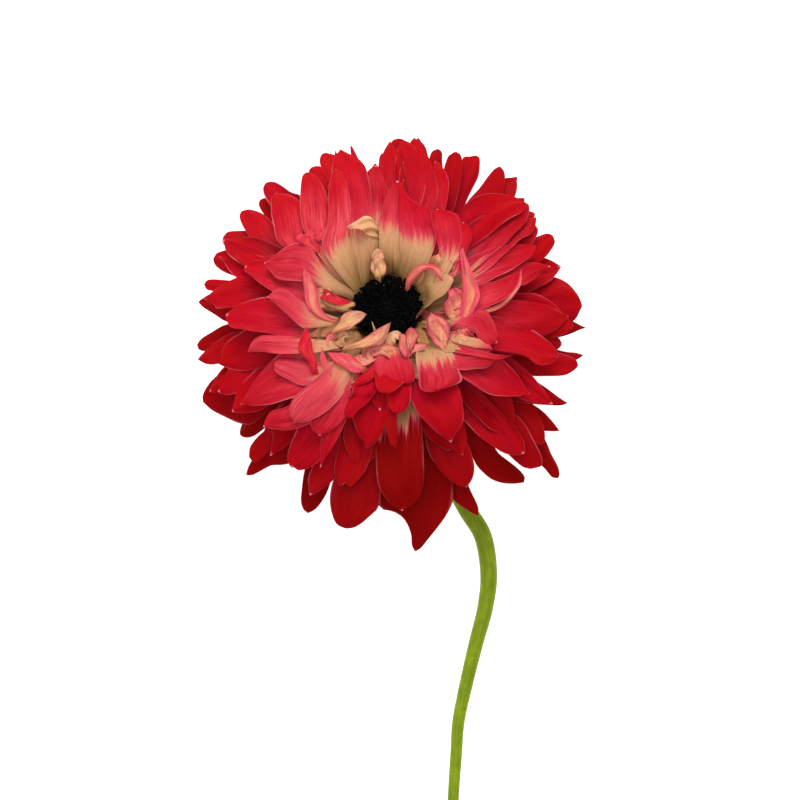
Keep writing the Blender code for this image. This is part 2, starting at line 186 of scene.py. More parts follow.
# Living plant tissue, waxy and moist: olive green, paler where it is bruised by the crowded
# claws, with a low gloss. The mottling is about 1.5 mm across.
receptacle_tissue, tree = new_material("receptacle tissue")
place = add(tree, "TexCoord")
mottle = add(tree, "TexNoise", {"Vector": place.outputs["Object"], "Scale": 650.0, "Detail": 3.0})
tone = add(tree, "ValToRGB", {"Fac": mottle}, stops=[(0.35, "#6B5A1E"), (0.55, "#98812F"), (0.75, "#B39A4C")])
grain = add(tree, "Bump", {"Height": mottle, "Strength": 0.4, "Distance": 0.0002})
skin = add(tree, "BsdfPrincipled", {"Base Color": tone, "Roughness": 0.5, "Normal": grain})
add(tree, "OutputMaterial", {"Surface": skin})

put_in("receptacle", *turned(RECEPTACLE_PROFILE, 48), receptacle_tissue, "petal", "petals")


# Back petals: the lowest and largest layer, which frames the bloom and rests on the surface at
# its far side. Petals are thin living sheets, 0.35 mm thick in the middle, held by narrow claws.
BACK_PETALS = dict(
    root=(4.6, -13.8), rise=2, droop=-32, tip=-20.5, claw=0.3, cream=0.34, pale=0.0, deep=0.6, peak=0.72,
    bowl=((4.6, 15.0, 25.0, 33.0, 39.0, 44.0, 48.0, 54.0, 62.0),
          (-13.8, -13.4, -13.3, -14.3, -16.0, -18.2, -20.5, -23.5, -27.5)),
    seed=11,
    petals=[
        ((3, 42.1), [(-0.5, 31.8), (0.2, 38), (1, 41), (1.8, 41.9)],
         [(6.2, 31.8), (5.5, 38), (4.8, 41), (4, 41.9)], 0, 0.6),
        ((12.8, 39.6), [(9.5, 25.5), (10.2, 33), (10.5, 36.5), (11.2, 38.8)],
         [(15.2, 25.5), (14.2, 33), (13.8, 36.5), (13.8, 38.5)], 0, 0.6),
        (19, 36.6, 5, 0.5, 4), (34, 28, 8, 0.3, 0), (48.6, -4.4, 6, 0.4, 0),
        ((49.2, -12), [(35.8, -9.5), (41.5, -10.5), (44.8, -11.2), (47.2, -11.4)],
         [(35.8, -13.2), (42, -14.2), (45.8, -13.8), (47.8, -13)], 0, 0.5),
        ((43.2, -31), [(29.5, -22), (35.2, -23.8), (38.5, -25.8), (41.2, -28.5)],
         [(28.2, -28.2), (34.5, -30.8), (39.5, -31), (41.8, -31.1)], 0, 0.7),
        ((42.8, -42.8), [(33, -24.5), (39, -32.2), (41.2, -36.8), (42.8, -39.8), (43.2, -41.8)],
         [(26, -28), (33.2, -34.5), (37, -38.2), (39.5, -40.5), (41.2, -42.5)], 0, 0.7),
        ((34.2, -43.9),
         [(22, -26), (25, -31.5), (27.2, -35.9), (29.5, -37.9), (31.8, -39.6), (33.6, -41.2),
          (34.5, -42.6)],
         [(16, -27.5), (19.5, -33.2), (21.8, -38.8), (23.8, -41.2), (26, -43), (28.8, -44), (31.8, -44.2)],
         0, 0.8),
        ((22.8, -52.2),
         [(14, -28.5), (17, -35.8), (19.8, -43.2), (20.8, -45.8), (22, -48.2), (22.8, -50.2)],
         [(10.5, -33), (13.2, -40.8), (15, -45.8), (17.2, -48.8), (19.2, -50.2), (21.2, -51.5)], 0, 0.7),
        ((7, -61.2),
         [(11, -26), (13.2, -33.2), (15.8, -40.8), (16.2, -45.2), (16.2, -48.2), (15, -51.2), (12.8, -54.5),
          (10.2, -58), (8.5, -60.2)],
         [(0.5, -26), (-0.5, -33.2), (-2, -40.8), (-2.2, -45.8), (-1.8, -50), (1.2, -51), (3.2, -52),
          (4.8, -53.8), (6, -56.8), (6.2, -59.5)], 0, 1.4),
        ((-19.8, -51.6),
         [(-11, -29), (-13, -35.8), (-13.8, -42), (-14.8, -45.8), (-16.2, -48.5), (-17.8, -50.5)],
         [(-15.5, -28.5), (-18.8, -35.8), (-20.5, -42), (-21.2, -45.8), (-21.5, -48.5), (-21, -50.5)],
         0, 0.8),
        ((-35.3, -42.1),
         [(-16.5, -26), (-21.8, -33.2), (-23.3, -38.4), (-25.8, -39.4), (-28.8, -39.6), (-31.2, -40.8),
          (-33.6, -42)], [(-20.5, -22.5), (-25.5, -28.2), (-29.8, -33.2), (-32.8, -37), (-34.5, -39.8)],
         0, 0.8),
        (-36.8, -31.4, 7, 0.6, 0),
        ((-46, -23.8), [(-28, -24), (-33, -29.2), (-36.5, -29.1), (-40.2, -27.6), (-43.8, -25.8)],
         [(-29.2, -17.8), (-36.8, -16.2), (-40.8, -16.5), (-43.2, -18), (-45, -20.2), (-46, -22.2)], 0, 1),
        ((-47.5, -9.5), [(-34.2, -13.2), (-41.2, -12.2), (-44.8, -11.2), (-46.8, -10.8)],
         [(-34.2, -4.5), (-39.8, -4.8), (-43.2, -6.2), (-45.8, -7.5), (-47, -8.5)], 0, 0.8),
        ((-47.2, 1.2), [(-34.2, -4.5), (-39.8, -3.8), (-43.2, -1.8), (-45.8, -0.2)],
         [(-34.2, 2.2), (-40.5, 3.2), (-44.2, 3.2), (-46.2, 2.2)], 0, 0.7),
        ((-31, 27.2), [(-25, 16), (-28, 18.8), (-30.2, 22.2), (-31.8, 24.8), (-31.8, 26.5)],
         [(-21, 17), (-25.5, 20.5), (-27.2, 24.2), (-29.2, 27)], 0, 0.5),
        (-12.8, 39.2, 5, 0.5, 0),
    ],
)

# Each sheet is a grid of ROWS along, closer together at the tip, and LANES across. No sheet dips
# below LOWEST, so that its skin stays above the surface.
PETAL_THICKNESS = 0.35
LOWEST = 0.2
ROWS = 34
LANES = 16
SHARES = 1.0 - (1.0 - np.linspace(0.0, 1.0, ROWS + 1)) ** 1.7
ALONG = SHARES[:, None]
ACROSS = np.linspace(-1.0, 1.0, LANES + 1)
LEFT_HALF = (ACROSS > 0.0).astype(float)


def unit(vectors):
    """The vector, or each row of vectors, at length one."""
    return vectors / np.linalg.norm(vectors, axis=-1, keepdims=True)


def steps_of(line):
    """The distances between neighbouring points of a line."""
    return np.linalg.norm(np.diff(line, axis=0), axis=1)


def head_point(x, y, height):
    """The point over plan offset x, y from the eye at this height along the bloom's axis."""
    rise = (height - AXIS[0] * x - AXIS[1] * y) / AXIS[2]
    return EYE + np.array([x, y, rise])


def middle_line(layer, order, x, y, turn, lift):
    """Four control points of a petal's middle line, up and out of the core, over, and down to its
    tip, and the direction across it. Neighbours are stepped down in threes, and a tip that would
    sink into the surface lies along it."""
    radius, base = layer["root"]
    step = order % 3
    height = layer["tip"] - 1.0 * step - 0.18 * max(0.0, -y - 20.0)
    spread = 1.0 + (EYE[2] - max(head_point(x, y, height)[2], 0.0)) / CAMERA_HEIGHT
    tip = head_point(spread * x, spread * y, height + lift)
    rests = tip[2] < 1.0
    if rests:
        tip[2] = 0.3
    away = tip - EYE
    outward = unit(away - (away @ AXIS) * AXIS)
    start = np.cos(np.radians(turn)) * outward + np.sin(np.radians(turn)) * np.cross(AXIS, outward)
    root = EYE + (base - 0.7 * step) * AXIS + radius * start
    span = np.linalg.norm(tip - root)
    flat = unit((tip - root) - ((tip - root) @ AXIS) * AXIS)
    rise = np.radians(layer["rise"] - 3.0 * step + 1.2 * lift)
    droop = np.radians(layer["droop"])
    first = root + 0.38 * span * (np.cos(rise) * unit(start + flat) + np.sin(rise) * AXIS)
    arrive = np.cos(droop) * flat + np.sin(droop) * AXIS
    if rests:
        arrive = unit(np.array([flat[0], flat[1], 0.0]))
    return np.array([root, first, tip - 0.33 * span * arrive, tip]), unit(np.cross(AXIS, flat))


def along_line(points):
    """Spots and unit directions of the cubic curve of four points, at the petal's shares."""
    a, b, c, d = points
    t = ALONG
    spot = (1 - t) ** 3 * a + 3 * t * (1 - t) ** 2 * b + 3 * t * t * (1 - t) * c + t ** 3 * d
    return spot, unit((1 - t) ** 2 * (b - a) + 2 * t * (1 - t) * (c - b) + t * t * (d - c))


def unevenness(form):
    """How far a blade's skin stands off its plain form, as shares of its half width.

    A groove along the middle, waves that grow to the margin, creases (slanting sines), and a lip:
    one margin turned up. The creases are also given alone, as they move points sideways too.
    """
    groove = -0.1 * np.exp(-(ACROSS / 0.15) ** 2) * (1.0 - ALONG ** 2)
    wave = form["wave"] * np.abs(ACROSS) ** 2.0 * ALONG * np.sin(
        TURN * (form["waves"] * ALONG + form["phase"] + 0.31 * LEFT_HALF))
    edge = np.clip(ACROSS * form["lip_side"], 0.0, 1.0) ** 3 * np.sin(np.pi * ALONG)
    creases = sum(np.sin(TURN * (slant * ACROSS + run * ALONG + start))
                  for slant, run, start in form["creases"])
    creases = form["crumple"] * creases * ALONG ** 0.5
    return groove + wave + creases + form["lip"] * edge, creases, edge


def petal_sheet(spot, way, across, width, blunt, claw, form):
    """Grid of one petal, its upward directions and its length, from share along and lane across.

    The half width is a sine swell from the claw to the form's peak, then a close at the tip,
    slower on one side, and ripples differently on each side. A cross-section is an arc: a gutter at
    the claw, opening to the form's cup, with a twist, a sideways bend and the skin's unevenness.
    Last, the form's points and notches push the end of the blade out or in.
    """
    length = steps_of(spot).sum()
    side = unit(across - (way * across).sum(1)[:, None] * way)
    spot = spot + side * (form["bend"] * length * np.sin(np.pi * SHARES) * SHARES)[:, None]
    grown = np.sin(0.5 * np.pi * np.clip(SHARES / form["peak"], 0.0, 1.0)) ** form["spoon"]
    swell = claw + (1.0 - claw) * grown
    taper = np.clip((SHARES - form["peak"] + 0.01) / (1.01 - form["peak"]), 0.0, 1.0)
    sharpness = max(1.6 + 2.0 * blunt, 1.1) * (1.0 + form["skew"] * np.clip(3.0 * ACROSS, -1.0, 1.0))
    close = (1.0 - taper[:, None] ** sharpness) ** (0.8 - 0.35 * blunt)
    half = np.maximum(0.56 * width * swell[:, None] * close, 0.08)
    ragged = 1.0 + 0.05 * np.sin(TURN * (1.7 * ALONG + form["phase"] + 0.4 * LEFT_HALF))
    ragged = ragged + 0.025 * np.sin(TURN * (5.3 * ALONG + form["phase"] + 0.2 * LEFT_HALF))
    turn = form["roll"] * np.sin(0.5 * np.pi * np.clip(SHARES / 0.5, 0.0, 1.0)) + form["twist"] * SHARES
    up = np.cross(way, side)
    tilted_side = np.cos(turn)[:, None] * side + np.sin(turn)[:, None] * up
    tilted_up = np.cross(way, tilted_side)
    bow = 0.8 * (1.0 - SHARES) ** 3 + form["cup"] * np.sin(np.pi * SHARES) + form["hook"] * SHARES ** 4
    bow = np.where(np.abs(bow) < 0.02, 0.02, bow)[:, None]
    reach = np.sin(bow * ACROSS) / bow * ragged
    dish = (1.0 - np.cos(bow * ACROSS)) / bow - 0.25 * bow
    rise, creases, edge = unevenness(form)
    reach = reach * (1.0 - 0.25 * form["lip"] * edge) * half
    grid = spot[:, None] + tilted_side[:, None] * (reach + 0.4 * half * creases)[..., None]
    grid = grid + tilted_up[:, None] * (half * (dish + rise))[..., None]
    for push, where, spread in form["points"]:
        nearness = np.exp(-((reach / half.max() - where) / spread) ** 2)
        grid = grid + way[:, None] * (push * ALONG ** 6 * nearness)[..., None]
    grid[..., 2] = np.maximum(grid[..., 2], LOWEST)
    return grid, np.broadcast_to(tilted_up[:, None], grid.shape), length


def in_triangles(index):
    """Two triangles for each cell of a grid of point numbers, split along the diagonal that runs
    from the middle to the nearest corner, so that no corner cell is folded flat."""
    rows, lanes = index.shape
    a, b, c, d = index[:-1, :-1], index[1:, :-1], index[1:, 1:], index[:-1, 1:]
    near_row = np.arange(rows - 1)[:, None] < rows // 2
    near_lane = np.arange(lanes - 1)[None, :] < lanes // 2
    crossed = (near_row != near_lane)[..., None]
    first = np.where(crossed, np.stack([a, b, d], -1), np.stack([a, b, c], -1))
    second = np.where(crossed, np.stack([b, c, d], -1), np.stack([a, c, d], -1))
    return np.concatenate([first.reshape(-1, 3), second.reshape(-1, 3)])


def shells(grids, ups, thickness):
    """Closed thin shells from sheets: each side stands half the thickness off, thinning to nothing
    at the margin, where both sides share their points. Gives points, faces and the margin mask."""
    count, rows, lanes = grids.shape[:3]
    fade_row = 1.0 - np.abs(np.linspace(-1.0, 1.0, rows)) ** 6
    fade_lane = 1.0 - np.abs(np.linspace(-1.0, 1.0, lanes)) ** 4
    offset = 0.5 * thickness * fade_row[:, None, None] * fade_lane[None, :, None] * ups
    upper = (grids + offset).reshape(count, -1, 3)
    under = (grids - offset)[:, 1:-1, 1:-1].reshape(count, -1, 3)
    points = np.concatenate([upper, under], 1)
    index = np.arange(rows * lanes).reshape(rows, lanes)
    below = index.copy()
    below[1:-1, 1:-1] = rows * lanes + np.arange((rows - 2) * (lanes - 2)).reshape(rows - 2, lanes - 2)
    faces = np.concatenate([in_triangles(index), in_triangles(below)[:, ::-1]])[None]
    faces = faces + (points.shape[1] * np.arange(count))[:, None, None]
    edge = np.ones((rows, lanes), bool)
    edge[1:-1, 1:-1] = False
    margin = np.zeros((count, points.shape[1]), bool)
    margin[:, :rows * lanes] = edge.ravel()
    return points.reshape(-1, 3), faces.reshape(-1, 3), margin.ravel()


def on_both_sides(values):
    """Values of sheet points, listed for the shell's upper points and then for its under points."""
    count, rows, lanes, *tail = values.shape
    inner = values[:, 1:-1, 1:-1]
    both = np.concatenate([values.reshape(count, rows * lanes, *tail),
                           inner.reshape(count, (rows - 2) * (lanes - 2), *tail)], 1)
    return both.reshape(-1, *tail)


def take_in(kept, sheet, width, tints):
    """Add one blade, with notes on its growth for the material, to those kept.

    Its tints are where its cream ends (a share of its length, or one for the right and one for the
    left margin), how pale its red is, how deep (on petals partly painted shade, on petaloids their
    stain), how softly it starts, and a chance of its own. The rim note says how near the margin a
    point is and, above one, how near a pale end point.
    """
    grid, up, length = sheet
    cream, pale, deep, soft, chance = tints
    along, aside = np.meshgrid(SHARES, ACROSS, indexing="ij")
    off_middle = np.linalg.norm(grid - grid[:, LANES // 2][:, None], axis=-1)
    point = np.clip((along * length - length + 0.6) / 0.4, 0.0, 1.0) * np.exp(-(off_middle / 0.25) ** 2)
    cream = np.broadcast_to(np.interp(ACROSS, (-1.0, 1.0), np.broadcast_to(cream, 2)), along.shape)
    kept["grids"].append(grid)
    kept["ups"].append(up)
    kept["blade"].append(np.stack([0.5 * width * aside * MM, length * along * MM,
                                   np.full(along.shape, 0.1 * chance)], -1))
    kept["growth"].append(np.stack([along, cream, np.full(along.shape, pale)], -1))
    kept["rim"].append(np.maximum(np.abs(aside), along ** 6) + point * (chance > 0.45))
    kept["deep"].append(np.full(along.shape, deep))
    kept["soft"].append(np.full(along.shape, soft))


def put_in_blades(name, kept, thickness, finish):
    """All the blades that were kept, as one piece of thin closed shells."""
    points, faces, margin = shells(np.array(kept.pop("grids")), np.array(kept.pop("ups")), thickness)
    notes = {key: on_both_sides(np.array(values)) for key, values in kept.items()}
    put_in(name, points, faces, finish, "petal", "petals", notes, margin)


def grown_form(draw, rolled, peak):
    """How one petal grew: its sideways bend, roll, twist, cup, hook, waves and turned-up lip."""
    return dict(
        bend=draw.uniform(-0.07, 0.07), roll=np.radians(rolled) + draw.uniform(-0.15, 0.15),
        twist=draw.uniform(-0.3, 0.3), cup=draw.uniform(-0.1, 0.6), hook=draw.uniform(-0.9, 0.9),
        wave=draw.uniform(0.05, 0.22), waves=draw.uniform(1.0, 2.4), phase=draw.uniform(0.0, 1.0),
        lip=draw.choice([0.0, 0.25, 0.6]), lip_side=draw.choice([-1.0, 1.0]), peak=peak, spoon=1.0,
        crumple=0.035, creases=draw.uniform((-1.2, 0.5, 0.0), (1.2, 2.6, 1.0), (4, 3)),
        skew=draw.uniform(-0.35, 0.35),
        points=[(draw.choice([0.0, 0.0, 0.5, 1.2]), 0.0, 0.14),
                (-draw.choice([0.0, 0.0, 1.0, 1.6]), draw.uniform(-0.6, 0.6), 0.2)],
    )


def flowing_line(knots, parts):
    """A Catmull-Rom curve through the knots with this many parts a stretch, as one array."""
    padded = np.vstack([2 * knots[0] - knots[1], knots, 2 * knots[-1] - knots[-2]])
    a, b, c, d = padded[:-3, None], padded[1:-2, None], padded[2:-1, None], padded[3:, None]
    t = (np.arange(parts) / parts)[None, :, None]
    curve = 0.5 * (2 * b + (c - a) * t + (2 * a - 5 * b + 4 * c - d) * t ** 2
                   + (3 * b - a - 3 * c + d) * t ** 3)
    return np.vstack([curve.reshape(-1, knots.shape[1]), knots[-1]])


def through(knots):
    """Spots and unit directions of the flowing line through the knots, at the petal's shares."""
    line = flowing_line(knots, 12)
    run = np.append(0.0, np.cumsum(steps_of(line)))
    spot = np.stack([np.interp(SHARES * run[-1], run, line[:, k]) for k in range(3)], 1)
    return spot, unit(np.gradient(spot, SHARES, axis=0))


def seen_knots(spots, height):
    """Points at these heights along the bloom's axis that lie, seen from over the bloom, at plan
    offsets from the eye."""
    seen = np.array(spots)
    knots = np.array([head_point(x, y, up) for (x, y), up in zip(seen, height)])
    spread = 1.0 + (EYE[2] - knots[:, 2:]) / CAMERA_HEIGHT
    knots[:, :2] = EYE[:2] + CAMERA_ASIDE + (seen - CAMERA_ASIDE) * spread
    return knots


def from_root(knots, radius, base):
    """The knots after one on the receptacle, below the first of them."""
    away = knots[0] - EYE
    return np.vstack([EYE + base * AXIS + radius * unit(away - (away @ AXIS) * AXIS), knots])


def in_bowl(layer, spots, lift):
    """A line of a petal from its root over these spots. Their heights come from the bowl that the
    layer stands in (height against distance from the eye) and a lift that grows over 7 mm."""
    distance = np.hypot(*np.array(spots).T)
    grown = np.clip((distance - 7.0) / 7.0, 0.0, 1.0)
    height = np.interp(distance, *layer["bowl"]) + np.multiply(lift, grown)
    return from_root(seen_knots(spots, height), *layer["root"])


def outlined_sheet(left, right, arch, form):
    """Grid of a blade between its two margins, its upward directions and its length.

    A point lies on the straight line between the margins at its share, raised by an arch (a
    parabola across, a half sine along) and by the skin's unevenness.
    """
    near, far = through(right)[0], through(left)[0]
    middle = 0.5 * (near + far)
    way = unit(np.gradient(middle, SHARES, axis=0))
    half = np.maximum(0.5 * np.linalg.norm(far - near, axis=1), 0.06)[:, None]
    side = far - near
    side[-1] = side[-2]
    side = unit(side)
    up = unit(np.cross(way, side))
    rise, creases, edge = unevenness(form)
    moved = ACROSS + 0.3 * creases * (1.0 - ACROSS ** 2)
    grid = middle[:, None] + side[:, None] * (half * moved)[..., None]
    bowed = arch * (1.0 - ACROSS ** 2) * np.sin(np.pi * ALONG) ** 0.7
    grid = grid + up[:, None] * (bowed + half * rise)[..., None]
    grid[..., 2] = np.maximum(grid[..., 2], LOWEST)
    return grid, np.broadcast_to(up[:, None], grid.shape), steps_of(middle).sum()


def outlined_petal(layer, draw, tip, left, right, lift, arch, tints):
    """One petal between its two margins, each the spots passed on the way to the tip: its sheet,
    width and tints."""
    sides = [in_bowl(layer, margin + [tip], lift) for margin in (left, right)]
    sheet = outlined_sheet(*sides, arch, grown_form(draw, 0.0, 0.6))
    width = 1.4 * np.linalg.norm(sheet[0][:, -1] - sheet[0][:, 0], axis=1).mean()
    return sheet, width, (*tints, draw.uniform(0.0, 1.0))


def grow(name, layer, finish):
    """One layer of petals as one piece, from a table of their tips.

    The layer's root is the radius and height its petals start at, rise and droop their slopes in
    degrees at root and tip, tip their tips' height, claw the claw's share of the width, peak the
    share where they are widest, and bowl the distances from the eye and the heights there.
    A petal is x, y, width, blunt and turn, and may give how many millimetres it is lifted, how pale
    it is, where its cream ends, by how many degrees it is rolled, and its own peak. One on the
    bloom's outline is its tip, the spots of its left and right margin (seen from above the eye),
    its lift and its arch, and may add how pale it is, how much darker its red is than its layer's
    (partly painted shade), where its cream ends and how softly. Towards the upper left the petals
    are paler, and towards the stem their red is darkened as painted shade, where the lower petals
    lie in shade.
    """
    kept = defaultdict(list)
    for order, petal in enumerate(layer["petals"]):
        draw = np.random.default_rng([layer["seed"], order])
        outlined = isinstance(petal[0], tuple)
        x, y = petal[0] if outlined else petal[:2]
        paler = 0.3 * np.clip((y - x - 40.0) / 12.0, 0.0, 1.0)
        # Painted shade: the red darkens towards the stem, where the lower petals lie in shade.
        deeper_and_shaded = 0.009 * max(0.0, -y - 15.0)
        if outlined:
            tip, left, right, lift, arch = petal[:5]
            usual = (layer["pale"], 0.0, layer["cream"], 0.3)
            pale, more_deep_and_shade, cream, soft = petal[5:] + usual[len(petal) - 5:]
            deep = np.clip(layer["deep"] + more_deep_and_shade + draw.uniform(-0.15, 0.15) + deeper_and_shaded, 0.0, 1.0)
            left, right = ([(share * side[0][0], share * side[0][1]) for share in (0.35, 0.65)] + side
                           for side in (left, right))
            take_in(kept, *outlined_petal(layer, draw, tip, left, right, lift - 0.9 * (order % 3), arch,
                                          (cream, pale + paler, deep, soft)))
            continue
        usual = (0.0, layer["pale"], layer["cream"], 0.0, layer["peak"])
        width, blunt, turn, lift, pale, cream, rolled, peak = petal[2:] + usual[len(petal) - 5:]
        points, across = middle_line(layer, order, x, y, turn, lift)
        form = grown_form(draw, rolled, peak)
        pale = np.clip(pale + paler + draw.uniform(-0.06, 0.06), 0.0, 1.0)
        deep = np.clip(layer["deep"] + draw.uniform(-0.15, 0.15) + deeper_and_shaded, 0.0, 1.0)
        tints = (cream + draw.uniform(-0.02, 0.02), pale, deep, 0.3, draw.uniform(0.0, 1.0))
        sheet = petal_sheet(*along_line(points), across, width, blunt, layer["claw"], form)
        take_in(kept, sheet, width, tints)
    put_in_blades(name, kept, PETAL_THICKNESS, finish)


# Anemone petal: a fresh petal's satin skin over moist pigmented tissue. The red starts as a
# feathered edge along the veins, above a cream claw with fine brown lines, and is pinker where
# it starts. Veins are 0.25 mm apart, drawn as ridges; the margin is a thin pale line.
petal_tissue, tree = new_material("anemone petal tissue")
blade, growth, rim, depth_and_shade, softness = (add(tree, "Attribute", attribute_name=note)
                                       for note in ("blade", "growth", "rim", "deep", "soft"))
shares = add(tree, "SeparateXYZ", {"Vector": growth.outputs["Vector"]})

# Three noises drawn out along the blade: its veins, its broader streaks, and patches of tone.
drawn_out = ((4000.0, 130.0, 1000.0), (1100.0, 60.0, 700.0), (260.0, 90.0, 900.0))
places = (add(tree, "Mapping", {"Vector": blade.outputs["Vector"], "Scale": scale}) for scale in drawn_out)
fine, broad, patch = (add(tree, "TexNoise", {"Vector": place, "Scale": 1.0, "Detail": detail})
                      for place, detail in zip(places, (3.0, 2.0, 2.0)))

# From claw to tip: how far past the end of the cream a point is sets its place on the ramp.
past = add(tree, "Math", {0: shares.outputs["X"], 1: shares.outputs["Y"]}, operation="SUBTRACT")
past_fine = add(tree, "Math", {0: fine, 1: 0.16, 2: past}, operation="MULTIPLY_ADD")
past_broad = add(tree, "Math", {0: broad, 1: 0.24, 2: past_fine}, operation="MULTIPLY_ADD")
from_edge = add(tree, "Math", {0: past_broad, 1: 0.22}, operation="SUBTRACT")
stretch = add(tree, "MapRange", {"Value": softness.outputs["Fac"], "To Min": 1.2, "To Max": 0.38},
              clamp=False)
stretched = add(tree, "Math", {0: from_edge, 1: stretch}, operation="MULTIPLY")
stage_of = add(tree, "MapRange", {"Value": stretched, "From Min": -0.33, "From Max": 0.48})
claw_to_tip = add(tree, "ValToRGB", {"Fac": stage_of}, stops=[
    (0.0, "#A07A48"), (0.16, "#B88A5E"), (0.33, "#CC966E"), (0.38, "#D27E66"), (0.43, "#CE444E"),
    (0.53, "#C21634"), (0.72, "#BE0A22"), (1.0, "#BA0610"),
])
in_red = add(tree, "MapRange", {"Value": stage_of, "From Min": 0.42, "From Max": 0.56})

# How deep the red is: dark red where the petal is noted deep, crimson patches where it isn't. The deep note
# is partly painted shade, darkest on the petals towards the stem.
deep_red_and_shade = add(tree, "Math", {0: depth_and_shade.outputs["Fac"], 1: in_red}, operation="MULTIPLY")
in_cream = add(tree, "MapRange", {"Value": stage_of, "From Min": 0.44, "From Max": 0.34})
crimson = add(tree, "MapRange", {"Value": patch, "From Min": 0.35, "From Max": 0.65, "To Max": 0.7})
not_deep = add(tree, "MapRange", {"Value": depth_and_shade.outputs["Fac"], "To Min": 1.0, "To Max": 0.3})
crimson_here = add(tree, "Math", {0: crimson, 1: not_deep}, operation="MULTIPLY")
crimson_red = add(tree, "Math", {0: crimson_here, 1: in_red}, operation="MULTIPLY")
redder = add(tree, "Mix", {"Factor": crimson_red, "A": claw_to_tip, "B": "#AE0620"}, data_type="RGBA")
# Mix towards dark red: partly the petal's own deeper red, partly painted shade.
deeper_and_shaded = add(tree, "Mix", {"Factor": deep_red_and_shade, "A": redder, "B": "#8A0405"}, data_type="RGBA")

# Pink: streaks and clouds of it, strongest just past the cream, as strong as the petal is pale.
light_streaks = add(tree, "MapRange", {"Value": fine, "From Min": 0.36, "From Max": 0.66, "To Min": 0.4,
                                       "To Max": 1.2})
fading = add(tree, "MapRange", {"Value": stage_of, "From Min": 0.48, "From Max": 0.9, "To Min": 0.85,
                                "To Max": 0.05})
pale_here = add(tree, "Math", {0: fading, 1: shares.outputs["Z"]}, operation="MULTIPLY")
pale_patch = add(tree, "MapRange", {"Value": patch, "From Min": 0.36, "From Max": 0.64, "To Min": 1.25,
                                    "To Max": 0.4})
pale_cloud = add(tree, "Math", {0: pale_patch, 1: pale_here}, operation="MULTIPLY")
pale_streaks = add(tree, "Math", {0: light_streaks, 1: pale_cloud}, operation="MULTIPLY")
pale_red = add(tree, "Math", {0: pale_streaks, 1: in_red}, operation="MULTIPLY")
pinker = add(tree, "Mix", {"Factor": pale_red, "A": deeper_and_shaded, "B": "#E2585F"}, data_type="RGBA")

# Brown veins in the cream, the broken pale line of the margin, and a pale point at some tips.
vein = add(tree, "MapRange", {"Value": fine, "From Min": 0.52, "From Max": 0.7, "To Max": 0.5})
vein_cream = add(tree, "Math", {0: vein, 1: in_cream}, operation="MULTIPLY")
veined = add(tree, "Mix", {"Factor": vein_cream, "A": pinker, "B": "#8A5430"}, data_type="RGBA")
broken_line = add(tree, "Math", {0: patch, 1: 0.3, 2: rim.outputs["Fac"]}, operation="MULTIPLY_ADD")
margin_line = add(tree, "MapRange", {"Value": broken_line, "From Min": 1.1, "From Max": 1.22,
                                     "To Max": 0.45})
margin_pale = add(tree, "Math", {0: shares.outputs["Z"], 1: 1.2, 2: 0.6}, operation="MULTIPLY_ADD")
margin_share = add(tree, "Math", {0: margin_line, 1: margin_pale}, operation="MULTIPLY")
margined = add(tree, "Mix", {"Factor": margin_share, "A": veined, "B": "#F29A9C"}, data_type="RGBA")
end_point = add(tree, "MapRange", {"Value": rim.outputs["Fac"], "From Min": 1.3, "From Max": 1.7,
                                   "To Max": 0.8})
pointed = add(tree, "Mix", {"Factor": end_point, "A": margined, "B": "#E89494"}, data_type="RGBA")

# Cells and veins lighten and darken the whole, and raise the veins.
place = add(tree, "TexCoord")
grain = add(tree, "TexNoise", {"Vector": place.outputs["Object"], "Scale": 1300.0, "Detail": 4.0,
                               "Roughness": 0.65})
fleck = add(tree, "Math", {0: grain, 1: 0.6, 2: fine}, operation="MULTIPLY_ADD")
streak = add(tree, "MapRange", {"Value": fleck, "From Min": 0.5, "From Max": 1.1, "To Min": 0.78,
                                "To Max": 1.16})
streaked = add(tree, "VectorMath", {"Vector": pointed, "Scale": streak}, operation="SCALE")
ridges = add(tree, "Math", {0: broad, 1: 0.4, 2: fine}, operation="MULTIPLY_ADD")
relief = add(tree, "Bump", {"Height": ridges, "Strength": 0.4, "Distance": 0.0001})
flesh = add(tree, "BsdfPrincipled", {"Base Color": streaked, "Roughness": 0.6, "Specular IOR Level": 0.03,
                                     "Normal": relief})
add(tree, "OutputMaterial", {"Surface": flesh})

grow("petals_back", BACK_PETALS, petal_tissue)


